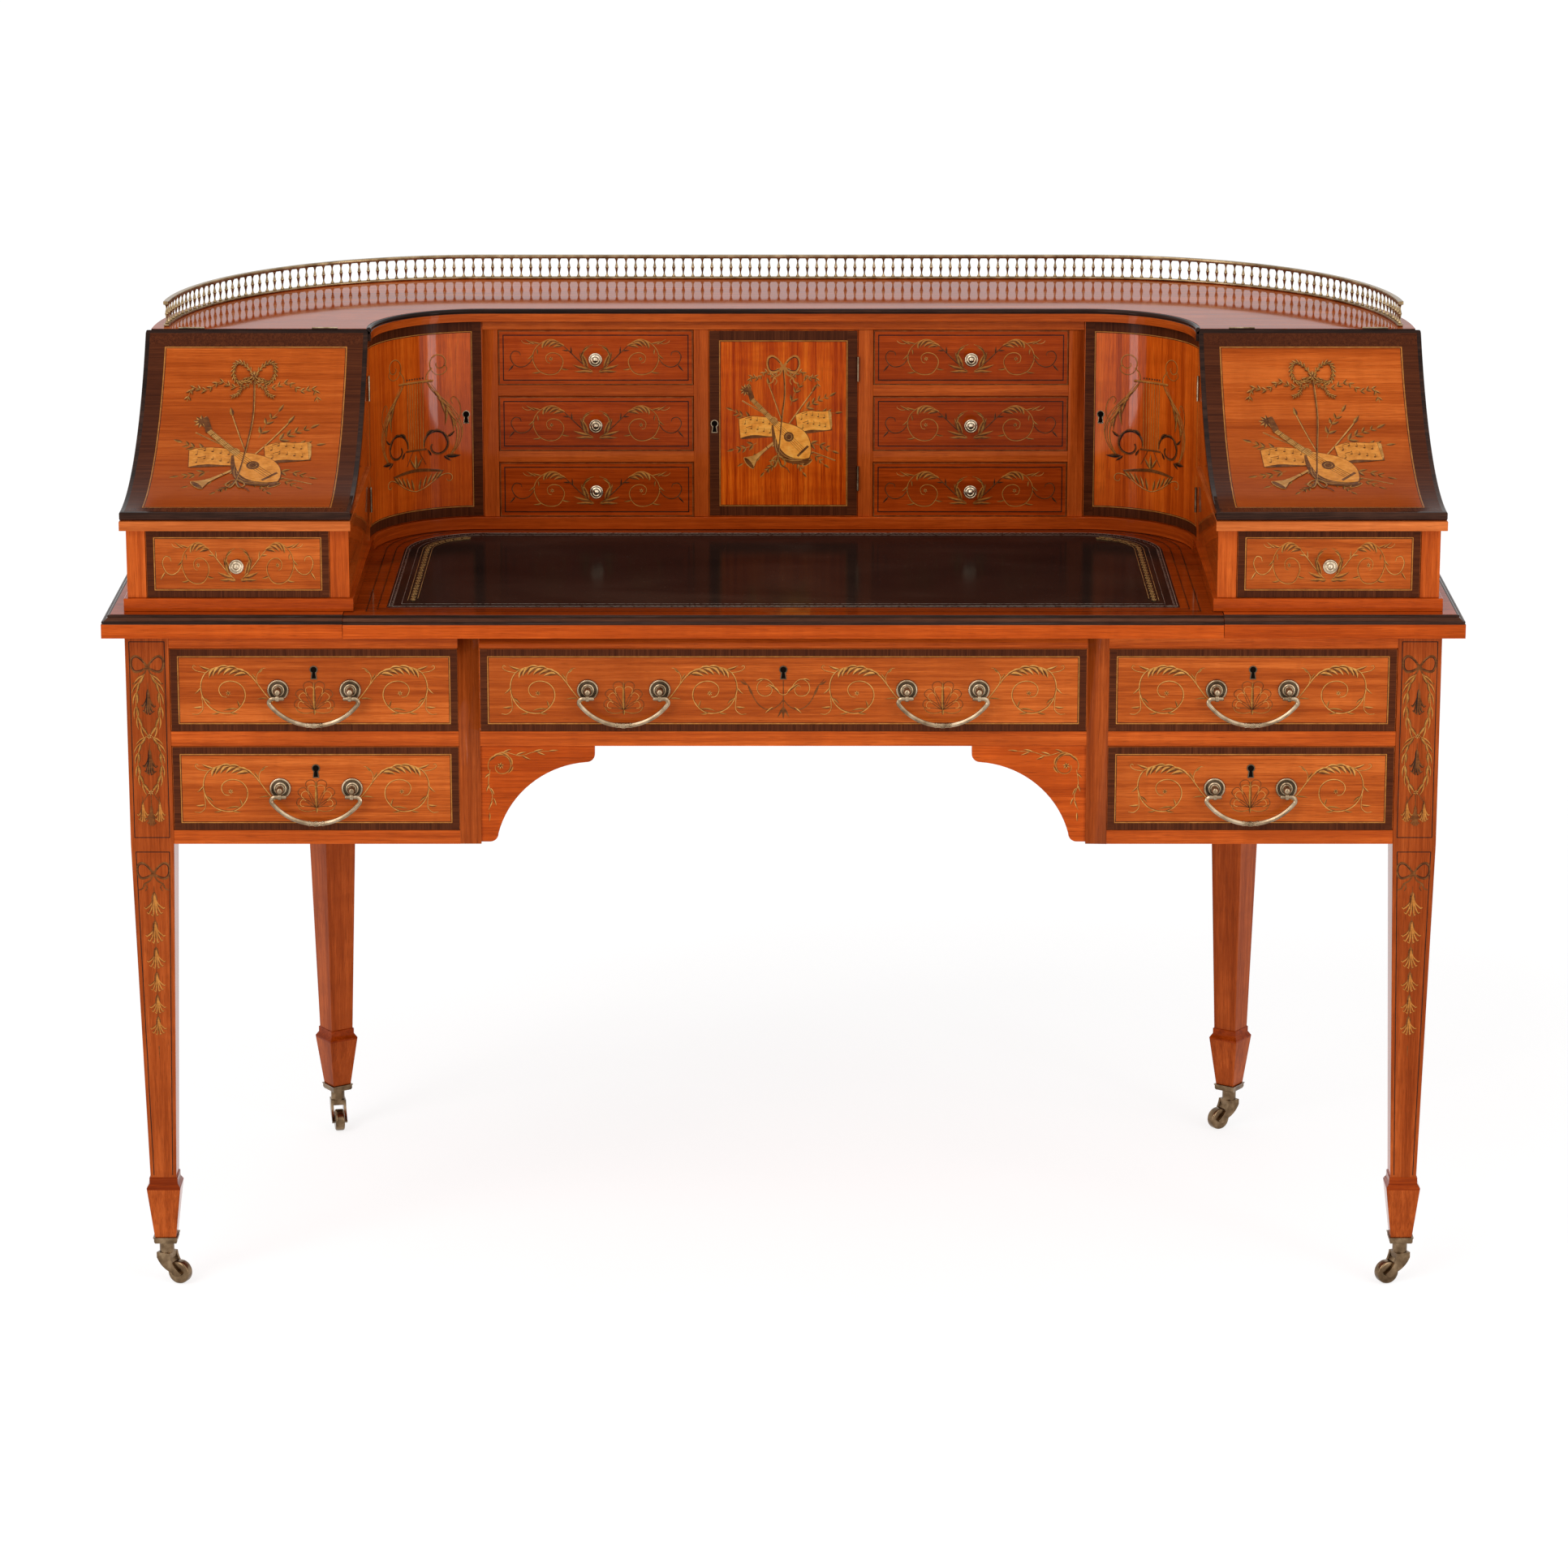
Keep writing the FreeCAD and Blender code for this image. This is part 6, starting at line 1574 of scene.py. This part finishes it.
def island_boxes(name):
    """Lowest and highest corners of the separate pieces of a frame node."""
    mesh = nodes[name].data
    parent = list(range(len(mesh.vertices)))

    def root(n):
        while parent[n] != n:
            parent[n] = parent[parent[n]]
            n = parent[n]
        return n

    same = {}
    for vertex in mesh.vertices:
        spot = tuple(round(c, 6) for c in vertex.co)
        parent[vertex.index] = root(same.setdefault(spot, vertex.index))
    for edge in mesh.edges:
        parent[root(edge.vertices[0])] = root(edge.vertices[1])
    groups = {}
    for vertex in mesh.vertices:
        groups.setdefault(root(vertex.index), []).append(vertex.co / MM)
    return [(Vector(map(min, *group)), Vector(map(max, *group))) for group in groups.values()]


BALUSTER = ((2.1, 0), (2.1, 0.7), (1.6, 1.3), (1.15, 2.2), (0.85, 3.6), (0.8, 4.8), (1.0, 6.2), (1.45, 7.8),
            (1.6, 8.6), (1.5, 9.2), (2.05, 9.8))
baluster_low, baluster_high = box_mm("gallery_balusters")
tall = baluster_high.z - baluster_low.z
turned = BALUSTER + tuple((radius, tall - height) for radius, height in BALUSTER[::-1])
solid = Solid()
for low, high in island_boxes("gallery_balusters"):
    solid.lathe(turned, Vector(((low.x + high.x) / 2, (low.y + high.y) / 2, baluster_low.z)), UP, 12)
piece = solid.piece("brass_balusters", [gallery_brass], "carcass", "brass")
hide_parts("gallery_balusters")
dress("gallery_rails", [gallery_brass], arris=0.9)

KNUCKLES = 5
LID_KNUCKLE, LID_KNUCKLE_RISE = 1.05, 0.6
solid = Solid()
for low, high in island_boxes("hinges"):
    size = high - low
    long = max(range(3), key=lambda axis: size[axis])
    axis = Vector([float(n == long) for n in range(3)])
    base = (low + high) / 2 - axis * size[long] / 2
    radius = min(size) / 2
    if long == 0:  # the lids' barrels, drawn smaller and lower
        base.z -= radius - LID_KNUCKLE_RISE
        radius = LID_KNUCKLE
    profile = [(0.2, 0.0)]
    for n in range(KNUCKLES):
        start, end = size[long] * n / KNUCKLES, size[long] * (n + 1) / KNUCKLES
        profile += [(radius * 0.9, start + 0.02), (radius, start + 0.12),
                    (radius, end - 0.12), (radius * 0.9, end - 0.02)]
    solid.lathe(profile + [(0.2, size[long])], base, axis, 16)
piece = solid.piece("brass_hinges", [handle_brass], "carcass", "brass", smooth=False)
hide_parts("hinges")

CASTER_ARRIS = {"caster_cups": 0.7, "caster_fork": 0.8, "caster_wheel": 2.2}
for name in nodes:
    for kind, arris in CASTER_ARRIS.items():
        if name.startswith(kind):
            dress(name, [caster_brass], arris=arris)


# Floor, light and camera.

FLOOR_REACH = 60.0
shader = Shader("studio_floor", Roughness=0.9, Emission_Color=(1, 1, 1, 1), Emission_Strength=0.78)
shader.colour(shader.ramp(shader.noise(2.0, detail=2), (0.4, (0.30, 0.30, 0.30)), (0.6, (0.31, 0.31, 0.31))))
mesh = bpy.data.meshes.new("studio_floor")
mesh.from_pydata([(x * FLOOR_REACH, y * FLOOR_REACH, 0) for x, y in ((-1, -1), (1, -1), (1, 1), (-1, 1))], [],
                 [(0, 1, 2, 3)])
mesh.materials.append(shader.material)
floor = bpy.data.objects.new("studio_floor", mesh)
bpy.context.scene.collection.objects.link(floor)


def add_lamp(name, kind, spot, aim, **settings):
    """Lamp at a spot that shines at an aim and isn't seen itself."""
    data = bpy.data.lights.new(name, kind)
    for key, value in settings.items():
        setattr(data, key, value)
    lamp = bpy.data.objects.new(name, data)
    lamp.location = spot
    lamp.rotation_euler = (Vector(spot) - Vector(aim)).to_track_quat("Z", "Y").to_euler()
    lamp.visible_camera = False
    bpy.context.scene.collection.objects.link(lamp)


def sun(name, azimuth, elevation, strength, softness):
    """Broad soft lamp. Azimuth 0 shines from the camera's side, 90 from the right."""
    turn, rise = math.radians(azimuth), math.radians(elevation)
    spot = Vector((math.sin(turn) * math.cos(rise), -math.cos(turn) * math.cos(rise), math.sin(rise)))
    add_lamp(name, "SUN", spot * 6, (0, 0, 0), energy=strength, angle=math.radians(softness))


sun("key_light", -34, 40, 0.88, 34)
sun("fill_light", 40, 36, 0.52, 50)
sun("top_light", 0, 84, 0.26, 60)
SOFTBOX_OUT, SOFTBOX_NEAR, SOFTBOX_LEVEL = 1.95, 1.82, 0.72
for hand, side in SIDES:
    spot = (side * SOFTBOX_OUT, -SOFTBOX_NEAR, SOFTBOX_LEVEL)
    add_lamp(f"softbox_{hand}", "AREA", spot, (0, 0, SOFTBOX_LEVEL),
             shape="RECTANGLE", size=0.5, size_y=1.3, energy=10)

SKY_LIGHT = 0.36
world = bpy.data.worlds.new("studio")
bpy.context.scene.world = world
world.use_nodes = True
sky = Nodes(world.node_tree)
rays = sky.add("LightPath").outputs
mirrored = sky.math("MAXIMUM", rays["Is Glossy Ray"], rays["Is Transmission Ray"])
seen = sky.math("MAXIMUM", rays["Is Camera Ray"], mirrored)
background = world.node_tree.nodes["Background"].inputs
sky.put(background["Color"], (1, 1, 1, 1))
sky.put(background["Strength"], sky.span(seen, SKY_LIGHT, 1.0, 0.0, 1.0))

CAMERA_TILT = 14.66
data = bpy.data.cameras.new("camera")
data.lens = 126.4
data.sensor_width = 36
data.dof.use_dof = False
data.clip_end = 200
camera = bpy.data.objects.new("camera", data)
camera.location = (0.0007, -5.952, 2.037)
camera.rotation_euler = (math.radians(90 - CAMERA_TILT), 0, 0)
bpy.context.scene.collection.objects.link(camera)
bpy.context.scene.camera = camera
bpy.context.scene.view_settings.view_transform = "Standard"

bpy.context.view_layer.update()
